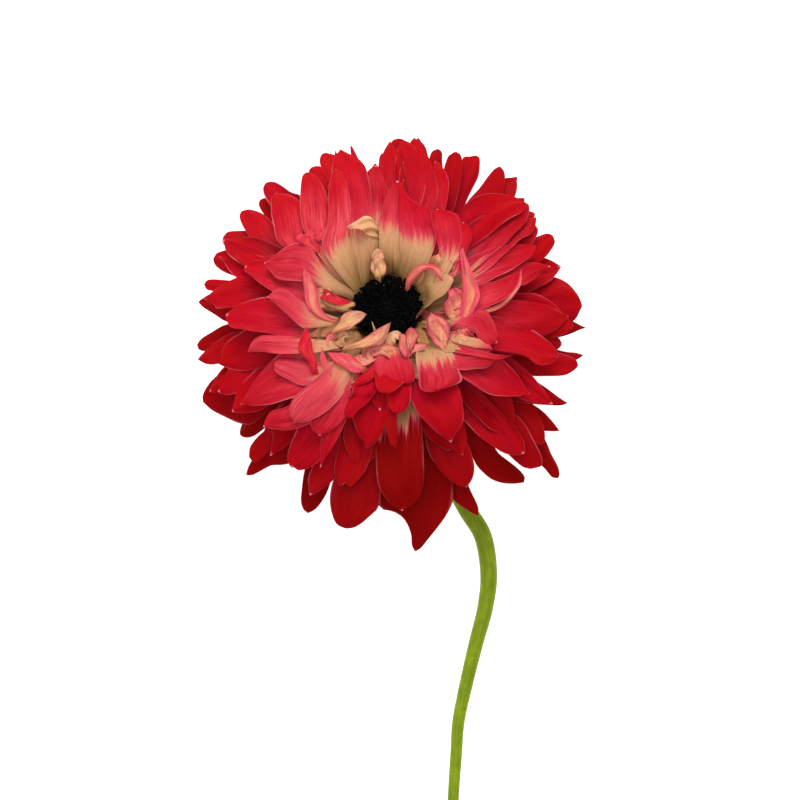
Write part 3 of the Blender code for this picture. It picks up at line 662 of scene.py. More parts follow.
# Outer petals: the second layer, laid over the gaps of the first. Same tissue, held a little
# higher on the receptacle, so they rise before they fall.
OUTER_PETALS = dict(
    root=(5.4, -11.9), rise=16, droop=-26, tip=-14.5, claw=0.34, cream=0.34, pale=0.05, deep=0.35, peak=0.7,
    bowl=((5.4, 10.0, 17.0, 28.0, 38.0, 44.0, 48.0, 54.0, 60.0),
          (-11.9, -10.8, -9.5, -9.2, -10.8, -12.8, -14.5, -17.5, -21.0)),
    seed=12,
    petals=[
        (1, 41.5, 8, 0.3, 0), (7.5, 42.7, 11, 0.3, 0),
        ((22.2, 37.9), [(14.5, 23), (16.2, 29.2), (18, 34.2), (19, 37.2), (20.5, 37.6)],
         [(18.8, 20.5), (19.5, 25.5), (21, 29), (22.8, 32.5), (23.2, 35.2), (23.1, 37.2)], 0, 0.7),
        ((28.2, 35.2), [(17, 16.8), (18.2, 23), (20.2, 26.5), (23, 29.5), (25.2, 32.5), (26.8, 34.4)],
         [(22.8, 16.8), (27, 23), (29, 28), (29.5, 31.8), (29.2, 34)], 0, 0.8),
        (31.8, 32.9, 8, 0.5, 5), (34.5, 26.5, 8, 0.6, 0),
        ((41.5, 17.8), [(24, 12), (30.8, 13), (35.8, 16.8), (38.2, 18), (40.2, 18.5)],
         [(25, 8), (32, 8), (36.2, 9.8), (39.2, 12), (41, 14.2), (42, 16.2)], 0, 0.8),
        (43, 10.7, 11, 0.4, 4),
        ((48.8, 0.2), [(26, 3.5), (33.2, 4.2), (39.5, 7.5), (42.2, 7.8), (45, 6.2), (46.8, 4), (48, 2.2)],
         [(26, -3), (33.2, -4.5), (40.8, -5.2), (44.5, -4.5), (47.2, -3), (48.2, -1.2)], 0, 1.2),
        (43.7, -9, 9, 0.4, 0),
        ((47.8, -14.8), [(27, -8), (34.5, -9.5), (40.2, -10.8), (44.5, -11.8), (47.2, -13.2)],
         [(26, -14), (34.5, -17.2), (40.2, -17.5), (44, -17.2), (46.5, -16)], 0, 0.8),
        ((45.2, -24), [(24, -14), (30.8, -17), (35.8, -18.2), (39.5, -20.2), (42.8, -22.5)],
         [(22, -19), (29.5, -23.2), (35.8, -24.2), (40.2, -24.5), (43.5, -24.6)], 0, 0.6),
        (39.2, -33.7, 10, 0.4, 6),
        ((35.8, -40.5),
         [(26, -23), (33.2, -28.2), (36.2, -33.2), (38.2, -37), (38.5, -39.5), (37.2, -40.2)],
         [(20, -24.5), (25.8, -29.5), (28.2, -34.5), (30.2, -36.5), (32.2, -38.5), (34, -40)], 0, 0.8),
        ((20, -45), [(12.5, -21), (17, -28.2), (20.2, -34.5), (21.5, -38.2), (21.8, -40.8), (21.2, -43.2)],
         [(6.5, -21.5), (8.8, -28.2), (10.2, -35.8), (13.2, -40.8), (15.8, -43.2), (18.2, -44.8)], 0, 1),
        ((-10.4, -55.4),
         [(-2.2, -24), (-2, -31), (-2, -38), (-1.6, -43.2), (-1.7, -48.2), (-2.4, -50.5), (-4, -52),
          (-6.3, -54), (-8.5, -55.2)],
         [(-7, -25), (-9.2, -33.2), (-13, -42), (-14.3, -46.2), (-14.4, -49.5), (-13.5, -52.7),
          (-12.4, -54.4)], -1.8, 1.2),
        (-32, -35.5, 9, 0.3, -4),
        ((-34.5, -37.5), [(-18.5, -22.5), (-24.2, -29.5), (-28, -34.5), (-31.2, -37.8), (-33.2, -38.8)],
         [(-21, -19), (-26.8, -24.5), (-30.2, -30.2), (-32.5, -32.5), (-34.2, -35)], 0, 0.8),
        (-44.4, -20.8, 8, 0.3, 0), (-47, -12.5, 8, 0.4, 0),
        ((-45.8, 5.8), [(-25, 1.2), (-31.8, 1.8), (-38, 3), (-43.8, 4), (-45.2, 4.5)],
         [(-25, 5.5), (-31.2, 6.8), (-36.8, 6.5), (-41.2, 6.8), (-44.5, 6.8)], 0, 0.6),
        ((-43.5, 12), [(-23, 4.5), (-29.2, 5.5), (-35.8, 7), (-38.8, 8), (-41.2, 9), (-43, 10.5)],
         [(-24, 11), (-31.2, 14.2), (-36.8, 14.8), (-40.2, 14.2), (-42.5, 13.5)], 0, 0.7),
        ((-41, 17.5), [(-24, 9.5), (-30.5, 11.2), (-36.8, 12.8), (-39.8, 14.5), (-41, 16)],
         [(-23, 14), (-29.8, 17.8), (-34.2, 18.8), (-37.2, 19), (-39.8, 18.8)], 0, 0.7, 0.6, -0.3),
        ((-30.2, 31.2), [(-20.5, 17), (-25.5, 20.5), (-28.8, 24.8), (-30.5, 27.5), (-31, 29.8)],
         [(-15, 19.5), (-18.8, 23), (-21.2, 27), (-23.8, 28.1), (-26, 29.8), (-28.2, 31.1)],
         0, 0.5, 0.5, -0.3),
    ],
)

grow("petals_outer", OUTER_PETALS, petal_tissue)


# Middle petals: the fullest layer, of the same tissue. They arch up out of the core, each on its
# own claw on the receptacle, and carry the bloom's main red.
MIDDLE_PETALS = dict(
    root=(6.0, -10.0), rise=28, droop=-24, tip=-9.5, claw=0.42, cream=0.35, pale=0.15, deep=0.12, peak=0.68,
    bowl=((6.0, 10.0, 16.0, 25.0, 35.0, 40.0, 44.0, 50.0),
          (-10.0, -8.2, -6.3, -5.3, -6.4, -7.9, -9.5, -13.0)),
    seed=13,
    petals=[
        (3.3, 39.2, 6, 0.3, 0),
        ((16.8, 38.8), [(11.2, 23), (13.2, 30.5), (14.2, 34.5), (15.2, 37.5)],
         [(16.2, 23), (18.2, 30.5), (18.8, 34.8), (18.5, 37.5), (17.8, 38.5)], 0, 0.6, 0, 0.5),
        (36.5, 24, 9, 0.4, 0, 0, 0.5), (37.5, 20.5, 11, 0.2, 0, 1, 1), (37.2, 15, 9, 0.3, 4, 0, 0.5),
        (46.2, -4.5, 10, 0.4, 0), (41, -24, 6.5, 0.3, 6), (32.2, -30.5, 10, 0.3, 6),
        (34.2, -36.6, 8, 0.5, 6), (18.7, -36.7, 10, 0.4, 0),
        # This petal's added darkness of red, 1, is painted shade for the shadow it lies in.
        ((3.8, -51),
         [(5.5, -16), (7.8, -23.2), (8.8, -30.8), (9.2, -38.2), (9.2, -43.2), (8.2, -47), (6, -49.5)],
         [(1, -16), (-1, -23.2), (-2.6, -30.8), (-2.8, -38.2), (-2.2, -44.5), (0, -48.2), (2, -50)],
         0, 1, 0, 1, (0.58, 0.52), -1.2),
        (1.5, -34.7, 7, 0.3, 0), (-6.5, -40.5, 9, 0.4, 4, 2.6), (-11, -45.5, 8, 0.6, 6, 2.6),
        (-19.2, -47, 7, 0.4, 4, 1), (-28.5, -36.2, 9, 0.3, 0), (-38.7, -26, 9, 0.4, 0),
        (-42.2, -21, 9, 0.3, 0), (-42.3, -13.7, 10, 0.3, 0), (-45, 2.7, 10, 0.4, 4), (-41, 13, 8, 0.3, 8),
        (-38, 14.5, 7, 0.3, 8), (-40.5, 17, 8, 0.5, 6, 0, 0.55),
        ((-36.5, 23.8), [(-25, 9.5), (-31.2, 13), (-34.2, 17.2), (-36, 20.2), (-36.8, 22.5)],
         [(-20, 13.5), (-25.5, 16.8), (-28.8, 21.2), (-31.2, 23.5), (-34.2, 24.5), (-35.8, 24.2)],
         0, 0.8, 0.4, -0.1),
        ((-17.8, 35.2), [(-15.5, 23), (-18, 29.2), (-19.5, 33.2), (-19, 34.8)],
         [(-10.5, 23), (-13, 29.2), (-15.2, 33.2), (-16.5, 35)], 0, 0.6, 0.5, -0.1),
        ((-15.2, 38.6), [(-11.8, 23), (-15.2, 31.8), (-16.8, 35.8), (-16.5, 38)],
         [(-6.8, 23), (-9.2, 31.8), (-11.2, 36), (-13, 37.8)], 0, 0.6, 0.5, -0.1),
        (-3, 36, 8, 0.3, 0),
        ((-9.1, 40.6), [(-8.8, 29), (-8.8, 35.5), (-9, 38), (-9.2, 39.6)],
         [(-6.2, 29), (-6.6, 35.5), (-7.4, 37.6), (-8.4, 39.6)], 0, 0.3),
    ],
)

grow("petals_middle", MIDDLE_PETALS, petal_tissue)


# Inner petals: narrower, with broad cream claws that stand round the eye, and pinker blades. They
# lean, cross and fold over each other, so each is drawn through the spots its middle passes.
#
# After its spots (x, y seen from above the eye): width, how blunt and how pale it is, where its
# cream ends, how many millimetres it is lifted, its roll in degrees and its depth of red.
INNER_PETALS = dict(
    root=(6.6, -8.1), claw=0.75, seed=14,
    bowl=((6.6, 9.0, 12.0, 16.0, 22.0, 30.0, 38.0, 46.0), (-7.6, -3.8, -1.4, 0.4, 1.4, 0.0, -4.0, -9.0)),
    petals=[
        ([(0.8, 7.4), (2, 16), (2, 26), (1.4, 34), (0.9, 41.2)], 7.5, 0.2, 0.25, 0.35, -0.6, 0, 0.2),
        ([(2.4, 7.2), (4.4, 16), (5.6, 27), (5.2, 35), (4, 41.6)], 7.5, 0.5, 0.1, 0.35, -0.8, 0, 0.2),
        ([(2.8, 7), (5.4, 16), (7.2, 27), (7.6, 35), (6.8, 42.4)], 9.5, 0, 0.15, 0.35, 0, 0, 0.2),
        ([(5.6, 6.4), (8.6, 14), (11.4, 24), (12.6, 32), (11.8, 37)], 6, 0.3, 0.3, 0.35, 0.2, 0, 0.1),
        ([(8.6, 3.8), (15, 8.5), (23, 15.5), (30, 21.5), (35, 26)], 9, 0.5, 0.2, 0.42, -0.6, 0, 0.3),
        ([(9, 3.2), (17, 8), (26, 14.5), (33, 19.8), (37, 22.2)], 7.5, 0.3, 0.35, 0.44, -0.9, 0, 0.2),
        ([(9, 2.4), (16, 5.6), (23, 9.4), (31, 12.6), (37.2, 15.4)], 7.5, 0.2, 0.4, 0.44, 0.4, 0, 0),
        ([(9, 1.8), (17, 4.4), (25, 6.6), (33, 8.2), (40.4, 10)], 7.5, 0.2, 0.35, 0.46, -0.4, 0, 0.1),
        ([(9, 0.2), (17, -0.6), (26, -2.2), (35, -3.2), (45, -2.4)], 10, 0.3, 0.2, 0.36, -1.2, 0, 0.3),
        ([(9, -2.6), (17, -5.6), (26, -8.2), (35, -9.4), (42.9, -12.2)], 11, 0.4, 0.15, 0.36, 0, 0, 0.1),
        ([(8.4, -4), (15, -9.4), (23, -14.6), (30, -18.8), (34.8, -21.2)], 9.5, 0.3, 0.4, 0.4, 0.3, 0, 0),
        ([(5, -7.6), (8.4, -14), (11.4, -20), (14, -27), (15.7, -32.7)], 11.5, 0.4, 0, 0.42, -0.2, 0, 0.2),
        ([(-0.6, -9), (-1, -14), (-1.6, -20), (-1.8, -25.4)], 7.5, 0.3, 0.05, 0.35, 0.2, 0, 0.1),
        ([(-2, -8.8), (-2.6, -16), (-4, -25), (-5.2, -35.2)], 10, 0.3, 0, 0.4, -0.8, 0, 0.25),
        ([(-4.4, -8), (-9, -18), (-13.4, -30), (-16.4, -39.4)], 5, 0.2, 0.4, 0.4, 0.9, 8, 0),
        ([(-5.6, -7), (-10.6, -18), (-17, -30), (-24.2, -40.4)], 9.5, 0.7, 0.3, 0.36, -1.2, 0, 0.1),
        ([(-7.6, -5), (-15, -11.6), (-25, -18), (-36.2, -24.2)], 11, 0.4, 0.45, 0.46, 0.6, 0, 0),
        ([(-8.8, -2), (-16, -3.4), (-24, -3.4), (-32, -2.6), (-40.2, -1.9)],
         11.5, 0.4, 0.25, 0.42, 0.2, 0, 0),
        ([(-8.8, 0.6), (-15, 2.4), (-22, 5), (-29, 8), (-36.2, 10.3)], 8, 0.3, 0.4, 0.42, 0.6, 0, 0),
    ],
)


def traced_sheet(knots, width, blunt, claw, form):
    """Grid of a petal whose middle flows through these knots, its upward directions and its length."""
    spot, way = through(knots)
    return petal_sheet(spot, way, unit(np.cross(AXIS, way)), width, blunt, claw, form)


def grow_traced(name, layer, finish):
    """One layer of petals as one piece, each through its own spots, which stand in the layer's bowl."""
    kept = defaultdict(list)
    for order, (spots, width, blunt, pale, cream, lift, rolled, deep) in enumerate(layer["petals"]):
        draw = np.random.default_rng([layer["seed"], order])
        form = grown_form(draw, rolled, 0.6)
        form["bend"] = 0.0
        sheet = traced_sheet(in_bowl(layer, spots, lift), width, blunt, layer["claw"], form)
        take_in(kept, sheet, width, (cream, pale, deep, 0.2 + 0.6 * pale, draw.uniform(0.0, 1.0)))
    put_in_blades(name, kept, PETAL_THICKNESS, finish)


grow_traced("petals_inner", INNER_PETALS, petal_tissue)


# Crown petals: the shortest full petals. They spring steeply beside the stamens on broad cream
# claws, stand up as walls on the far side, and fold over on the near side. A few narrow ones stand
# between them.
BETWEEN_PETALS = dict(
    root=(7.2, -6.2), claw=0.95, seed=15,
    bowl=((7.2, 9.0, 12.0, 16.0, 22.0, 28.0, 35.0, 42.0), (-5.4, -1.9, 0.8, 2.6, 3.6, 3.0, 0.4, -3.0)),
    petals=[
        ([(-1.6, 7), (-1.5, 12), (-1.5, 19), (-1.8, 27), (-2.8, 35.4)], 5.5, 0.3, 0.4, 0.54, -0.5, 25, 0.2),
        ([(0.9, 7.2), (1, 12), (1, 20), (1.6, 26), (2.6, 31.6)], 5.5, 0.3, 0.4, 0.56, 0.1, 0, 0.1),
        ([(9, 0.6), (17, 1.2), (24, 2.4), (30, 5.2), (33.2, 8.8)], 6.5, 0.1, 0.5, 0.46, 0, 0, 0),
        ([(8.4, 2), (10.6, 4.6), (12.6, 6.8), (14, 9.2)], 12, 0.95, 1.3, 1.06, 1.8, 0, 0),
        ([(8, -5), (15.8, -9.6), (22, -11.4), (27.5, -12.6), (32.2, -11.8)], 2.2, 0, 0.6, 0.5, 1.2, 0, 0),
    ],
)

grow_traced("petals_between", BETWEEN_PETALS, petal_tissue)

# Each is its tip, then the spots that its left and its right margin pass on the way there (x, y
# seen from above the eye); how many millimetres it is lifted and arched; where its cream ends; and
# how pale it is, how softly its red starts and how deep that red is.
CROWN_PETALS = dict(
    root=(7.2, -6.2), bowl=BETWEEN_PETALS["bowl"], seed=16,
    petals=[
        ((-11.7, 39.5), [(-7.2, 5.2), (-9.7, 14.2), (-12.2, 23), (-14, 30.5), (-13.5, 36.2)],
         [(-4.7, 6.2), (-4.2, 14.2), (-3.5, 23), (-4, 29.2), (-5.2, 33.8), (-7.5, 37)],
         -0.4, 0.9, 0.37, 0.4, 0.3, 0),
        ((-19.5, 33.6), [(-14, 9), (-19.2, 15.5), (-21, 20.5), (-21.5, 26.8), (-21.3, 31.8), (-20.6, 33.4)],
         [(-12, 9.5), (-14.2, 18), (-14.2, 24.2), (-15.5, 29.2), (-17.5, 32.6)],
         -0.6, 1, 0.36, 0.9, 0.5, 0),
        ((-27.7, 28.5), [(-15, 8), (-26.2, 15.2), (-28, 19.8), (-28.8, 24.2), (-28.9, 27.4)],
         [(-13, 9.5), (-20.5, 16.8), (-20.5, 21.2), (-21.2, 25.5), (-23.8, 27.8)],
         -1, 0.9, 0.3, 0.8, 0.5, 0),
        ((-12.7, 34.5),
         [(-8.8, 4.2), (-13, 8.8), (-15.5, 12.2), (-16.3, 15.5), (-15, 18.8), (-14.5, 23), (-14.5, 29.2),
          (-14, 33.5)],
         [(-6.2, 5.8), (-7.5, 11.2), (-8.5, 16.8), (-8.8, 21.8), (-9.2, 26.8), (-10, 30.5), (-11.2, 33.5)],
         0.8, 1.1, (0.46, 0.37), 1, 0.15, 0),
        ((-30.7, 11), [(-10, 2.2), (-14.2, 3.5), (-18.8, 5.8), (-22.2, 6.5), (-27.2, 7), (-29.2, 9)],
         [(-8.5, 4), (-13, 7.2), (-16.5, 10.8), (-18.8, 14.5), (-21.8, 16), (-25, 15.2), (-28.2, 13)],
         1, 0.9, 0.5, 0.75, 0.8, 0),
        ((4.2, 31.8), [(2.5, 6), (3.2, 13), (3, 19.2), (2.5, 25.5), (3, 29.8)],
         [(7.2, 5.5), (10.8, 11.2), (12.5, 16), (11.5, 20.2), (10.8, 23.2), (8, 25.2), (5.5, 27.2),
          (4.5, 29.8)], 1, 1, (0.42, 0.5), 0.15, 0.15, 0),
        ((12.5, 24.5), [(11.2, 6.2), (13.2, 11.2), (12.5, 16), (11, 20.5), (11.2, 23.2)],
         [(14.5, 6.8), (17, 11.2), (18.5, 15.5), (18.5, 19.8), (17.8, 22.5), (15.2, 23.8)],
         1.4, 0.9, 0.55, 0.25, 0.2, 0),
        ((19, 21.2), [(15.8, 8), (17.5, 12.2), (17.5, 16.8), (18, 19.8)],
         [(17.8, 8), (19.2, 11.8), (20.2, 14.8), (21.2, 17.2), (20.8, 20)], 0.9, 0.6, 0.5, 0.25, 0.2, 0),
        ((35, 26), [(10, 9), (17, 21), (20, 25), (23.8, 27), (28.2, 27.8), (32, 27.5)],
         [(12, 7), (15.8, 11.2), (20, 14.2), (24.5, 17.5), (29.5, 21.2), (33.8, 23.5)],
         -2.2, 0.8, 0.2, 0.1, 0.3, 0.15),
        ((27.5, -9), [(17, -2.8), (20.8, -1.2), (24.5, -0.5), (26.5, -3.2), (27.5, -6.5)],
         [(17, -5.2), (19.8, -5.8), (22, -6.2), (23.2, -8.5), (25.2, -9.3)], 1.3, 0.5, 0.5, 0.75, 0.5, 0),
        ((27.5, -12.8), [(14.5, -10.8), (18.2, -11.2), (23.2, -11.2), (26, -11.8)],
         [(14.5, -13.8), (18.2, -15.8), (22, -15.5), (25.2, -15)], 0.4, 0.5, 0.52, 0.9, 0.6, 0),
        ((26.5, -10.8), [(12.5, -7.2), (17, -7), (22, -7.8), (25.2, -9)],
         [(13.2, -11.2), (17.8, -11.3), (22, -11.1), (25, -11.3)], 0.9, 0.3, 0.86, 0.6, 0.8, 0),
        ((12.8, -21), [(15.8, -11.2), (17.5, -14.8), (18.8, -18), (16.2, -19.8)],
         [(7.2, -10.8), (7.8, -15.2), (8, -18.2), (8.2, -20.5), (10.2, -21.3)], 0.8, 0.8, 0.6, 0.5, 0.2, 0),
        ((2.8, -26.8), [(5.2, -16.2), (6, -19.5), (6, -22.5), (5.2, -25)],
         [(0.2, -17), (-0.2, -20.8), (0.2, -23.8), (1.2, -26)], -0.6, 0.7, 0.3, 0, 0.2, 0),
        ((-8.5, -27.8), [(-2.2, -19.5), (-3.8, -22.5), (-5.8, -24.8), (-7.2, -25.8)],
         [(-8, -20.2), (-9.5, -22.8), (-10.8, -25.8), (-10.5, -27.5)], 0, 0.8, 0.3, 0.05, 0.2, 0),
        ((-9.3, -20.2), [(0.2, -12), (0.8, -14.2), (-1.8, -16.2), (-4.2, -18.5), (-6.8, -19.5)],
         [(-3.8, -11.2), (-3.8, -14), (-6.2, -16.8), (-8.5, -19.2)], 1.5, 0.6, 0.46, 0.3, 0.1, 0),
        ((2.8, -19.2), [(4.5, -10.8), (5.8, -13.2), (7, -15.8), (6.8, -17.8), (5, -19)],
         [(-1.8, -10.8), (-2.8, -13.8), (-2.8, -17), (-0.5, -19)], 1.4, 0.7, 0.5, 0.35, 0.2, 0),
        ((0.2, -21.9), [(2.5, -10.5), (4.2, -14), (4.5, -16.5), (4.2, -18.5), (2.4, -20.6)],
         [(-1, -10.5), (-2.6, -14), (-2.8, -17), (-2.9, -19.6), (-1.8, -21.2)],
         (0, -0.2, 0.5, 2.2, 2.6, 2), 0.5, 0.3, 0.35, 0.1, 0.1),
        ((2.1, -35.2), [(2.4, -20), (2.5, -25), (2.5, -30), (2.5, -33.6)],
         [(-2.4, -20), (-1.6, -25), (-0.4, -30), (0.8, -34.2)], -2.2, 0.5, 0.3, 0.05, 0.2, 0.6),
        ((-16.8, -32.2), [(-8.8, -18.8), (-8.8, -23.2), (-10, -26.5), (-11.8, -29.2), (-14.2, -31)],
         [(-12.2, -19.5), (-16.2, -24.5), (-19, -28.8), (-18.5, -30.8)], -0.4, 0.6, 0.48, 0.3, 0.7, 0),
        ((-31, -30), [(-13, -24.5), (-17.2, -28.2), (-21.2, -30), (-24.8, -30.8), (-28, -30.5)],
         [(-14, -17.5), (-21.8, -22.5), (-25.5, -25), (-28.8, -26), (-30.2, -28)],
         -0.9, 0.7, 0.4, 0.5, 0.7, 0),
        ((-23.2, -29),
         [(-5.6, -9.6), (-8.4, -14.4), (-10, -19.5), (-12.2, -23.2), (-15.5, -26.5), (-19.5, -28.5)],
         [(-8.4, -8.6), (-12.8, -13.6), (-17.4, -18.4), (-21.2, -21), (-23.5, -23.5), (-24.2, -26.5)],
         (-0.8, -0.6, 0.6, 1.4, 1.4, 1.3, 1.2), 0.9, (0.5, 0.62), 0.9, 1, 0),
        ((-28.2, -14.2), [(-13.5, -17), (-17.2, -18.8), (-21, -19.8), (-24.8, -18), (-27.8, -16.2)],
         [(-13, -13.2), (-18, -13.8), (-21.8, -13.2), (-24.8, -13), (-27.4, -13.2)],
         -0.3, 0.6, 0.6, 0.8, 1, 0),
        ((-34.8, -11.2), [(-13, -10.8), (-17.2, -11.8), (-21.8, -12.2), (-26.8, -12), (-31.2, -11.2)],
         [(-12.2, -8.2), (-16.8, -8.2), (-21.8, -7.5), (-26.8, -7.2), (-31.2, -7.2), (-33.8, -8.8)],
         0.4, 0.6, 0.58, 0.7, 1, 0),
        ((-30, 2.5), [(-13, -4.8), (-18, -5.2), (-21.2, -5.2), (-24.2, -2.5), (-27.2, 0.2)],
         [(-12.2, -2.8), (-17.2, -1.2), (-21, 1), (-24.8, 4), (-27.5, 4.5)], 0.7, 0.6, 0.56, 0.6, 1, 0),
    ],
)


def grow_outlined(name, layer, finish):
    """One layer of petals as one piece, each between its own two margins."""
    kept = defaultdict(list)
    for order, (tip, left, right, lift, arch, cream, pale, soft, deep) in enumerate(layer["petals"]):
        draw = np.random.default_rng([layer["seed"], order])
        tints = (cream, pale, deep, soft)
        take_in(kept, *outlined_petal(layer, draw, tip, left, right, lift, arch, tints))
    put_in_blades(name, kept, PETAL_THICKNESS, finish)


grow_outlined("petals_crown", CROWN_PETALS, petal_tissue)


# Petaloids: stamens that grew into small curled petals, crowded between the crown and the eye.
# Thin, waxy and crumpled, cream to salmon with pink margins, some with dark stained edges.
#
# Each is the spots (x, y from the eye, height) that its middle passes, then its width, how blunt
# and how blushed it is, its roll on edge in degrees, its cup, where it is widest and its stain.
PETALOIDS = [
    ([(-3.4, -7.6, 1.6), (-3, -6.2, 3), (-3.7, -3.8, 4)], 0.9, 0.1, -0.4, 0, 0.4, 0.6, 0),
    ([(1.2, -10.6, 1.4), (0.8, -8.6, 3.4), (2.2, -7.3, 4.2), (3.3, -8.4, 4)],
     2.8, 0.8, -0.25, 0, 1.2, 0.7, 0.7),
    ([(3.2, -14, 1.2), (1.4, -11.8, 3.2), (-1.6, -10.8, 4), (-4.2, -12, 3.8)],
     3.6, 0.6, 0.4, 0, 0.9, 0.7, 0.2),
    ([(12.6, -4, 0.4), (15.6, -4, 2.6), (16.6, -1, 4.4), (17, 2, 5.6), (16.4, 4.9, 6)],
     5.4, 0.7, 0.65, 0, 1.2, 0.72, 0.9),
    ([(-10.4, -0.4, -0.5), (-13.6, 0.2, 1.8), (-16, 1.4, 3.2), (-16.2, 3.3, 3.8), (-13.4, 3.8, 3.8)],
     4, 0.6, 0.1, 0, 1.1, 0.72, 0.8),
    ([(-15.4, 2.4, 3.4), (-14.2, 2.3, 4.4), (-12, 1.6, 4.8), (-9.2, 1.1, 4.4)],
     2.3, 0.5, 1.9, 0, 0.5, 0.7, 0.2),
    ([(-11, -9.4, 0.8), (-13, -9.8, 3), (-14, -8.2, 4), (-13.2, -6.6, 4)], 3.2, 0.8, 0.6, 0, 1.1, 0.7, 0.5),
    ([(-8.4, -7.6, -0.2), (-10.4, -8.6, 1.8), (-11.4, -7.6, 2.8), (-10.4, -5.8, 3)],
     4.2, 0.8, -0.3, 0, 1, 0.7, 0.5),
    ([(10.4, -9.6, 0.6), (12, -11.4, 2.4), (13.6, -12.8, 3), (13.8, -14.4, 2.4)],
     3, 0.9, 1, 0, 1, 0.7, 0.2),
    ([(13.6, -7.6, 1), (15.2, -8.8, 3), (16.4, -8.2, 4), (17.4, -6.8, 4)], 2.8, 0.6, 0.6, 0, 1, 0.7, 0.4),
    ([(10, -3.4, 0), (14.4, -4.2, 2.2), (18, -4.6, 3.2), (21.6, -5.4, 2.8)],
     6.6, 0.6, 0.7, 0, 0.7, 0.72, 0.4),
    ([(10.4, -4.6, 0), (15, -7, 2.4), (18.6, -8.4, 3.4), (22.4, -9.4, 3)],
     5.6, 0.6, 0.45, 0, 0.7, 0.72, 0.2),
    ([(-2.2, -10.6, 1), (-3.2, -12.6, 2.8), (-4.2, -12.4, 3.6), (-3.6, -10.8, 3.8)],
     2.2, 0.8, 0.3, 0, 1.1, 0.7, 0.2),
    ([(9.6, 6.4, 0.5), (13, 10, 3), (15.6, 12.6, 4.8), (17.9, 13.8, 5)], 5, 0.7, 0, 0, 0.9, 0.74, 0),
    ([(12, 9.6, 0.6), (13.4, 11.8, 3.4), (14.6, 14, 4.8), (15.8, 15.3, 5.2)],
     3.2, 0.7, 0.5, 0, 1.1, 0.7, 0.2),
    ([(13.4, 7.4, 1), (15.2, 8.6, 3), (17.4, 10, 4.8), (19, 12.4, 5.4)], 4, 0.5, 0.7, 0, 1, 0.7, 0.2),
    ([(16, -1.8, 2), (25, -1, 4), (29.8, 1.4, 4.6), (32.6, 5.4, 5), (33.5, 9.4, 5)],
     1.5, 0, 0.7, 60, 0.5, 0.75, 0),
    ([(8, -6.6, -1), (12.6, -9.6, 0.8), (16.8, -12.2, 1.8), (19.6, -14.6, 1.6)],
     8, 0.8, -0.3, 0, 0.4, 0.6, 0),
    ([(5.2, -8.6, -1), (7.4, -12, 0.8), (9.2, -15.4, 1.4), (10, -18.6, 0.6)],
     8, 0.8, -0.35, 0, 0.4, 0.6, 0),
    ([(-4.4, -8.8, -1), (-6.6, -12.8, 0.8), (-9.4, -16.6, 1.6), (-12.2, -19.6, 1)],
     8, 0.8, -0.3, 0, 0.4, 0.6, 0),
    ([(-8.4, -5, -1), (-12.4, -8.4, 0.8), (-15.6, -11.4, 1.8), (-18.6, -13.6, 1.6)],
     8, 0.8, -0.1, 0, 0.4, 0.6, 0),
    ([(-2.6, -10.2, 1), (-4.4, -12.6, 3.2), (-6.4, -13.4, 4.2), (-7.4, -12.2, 4.4)],
     3.8, 0.7, 0.45, 0, 1, 0.7, 0.2),
]

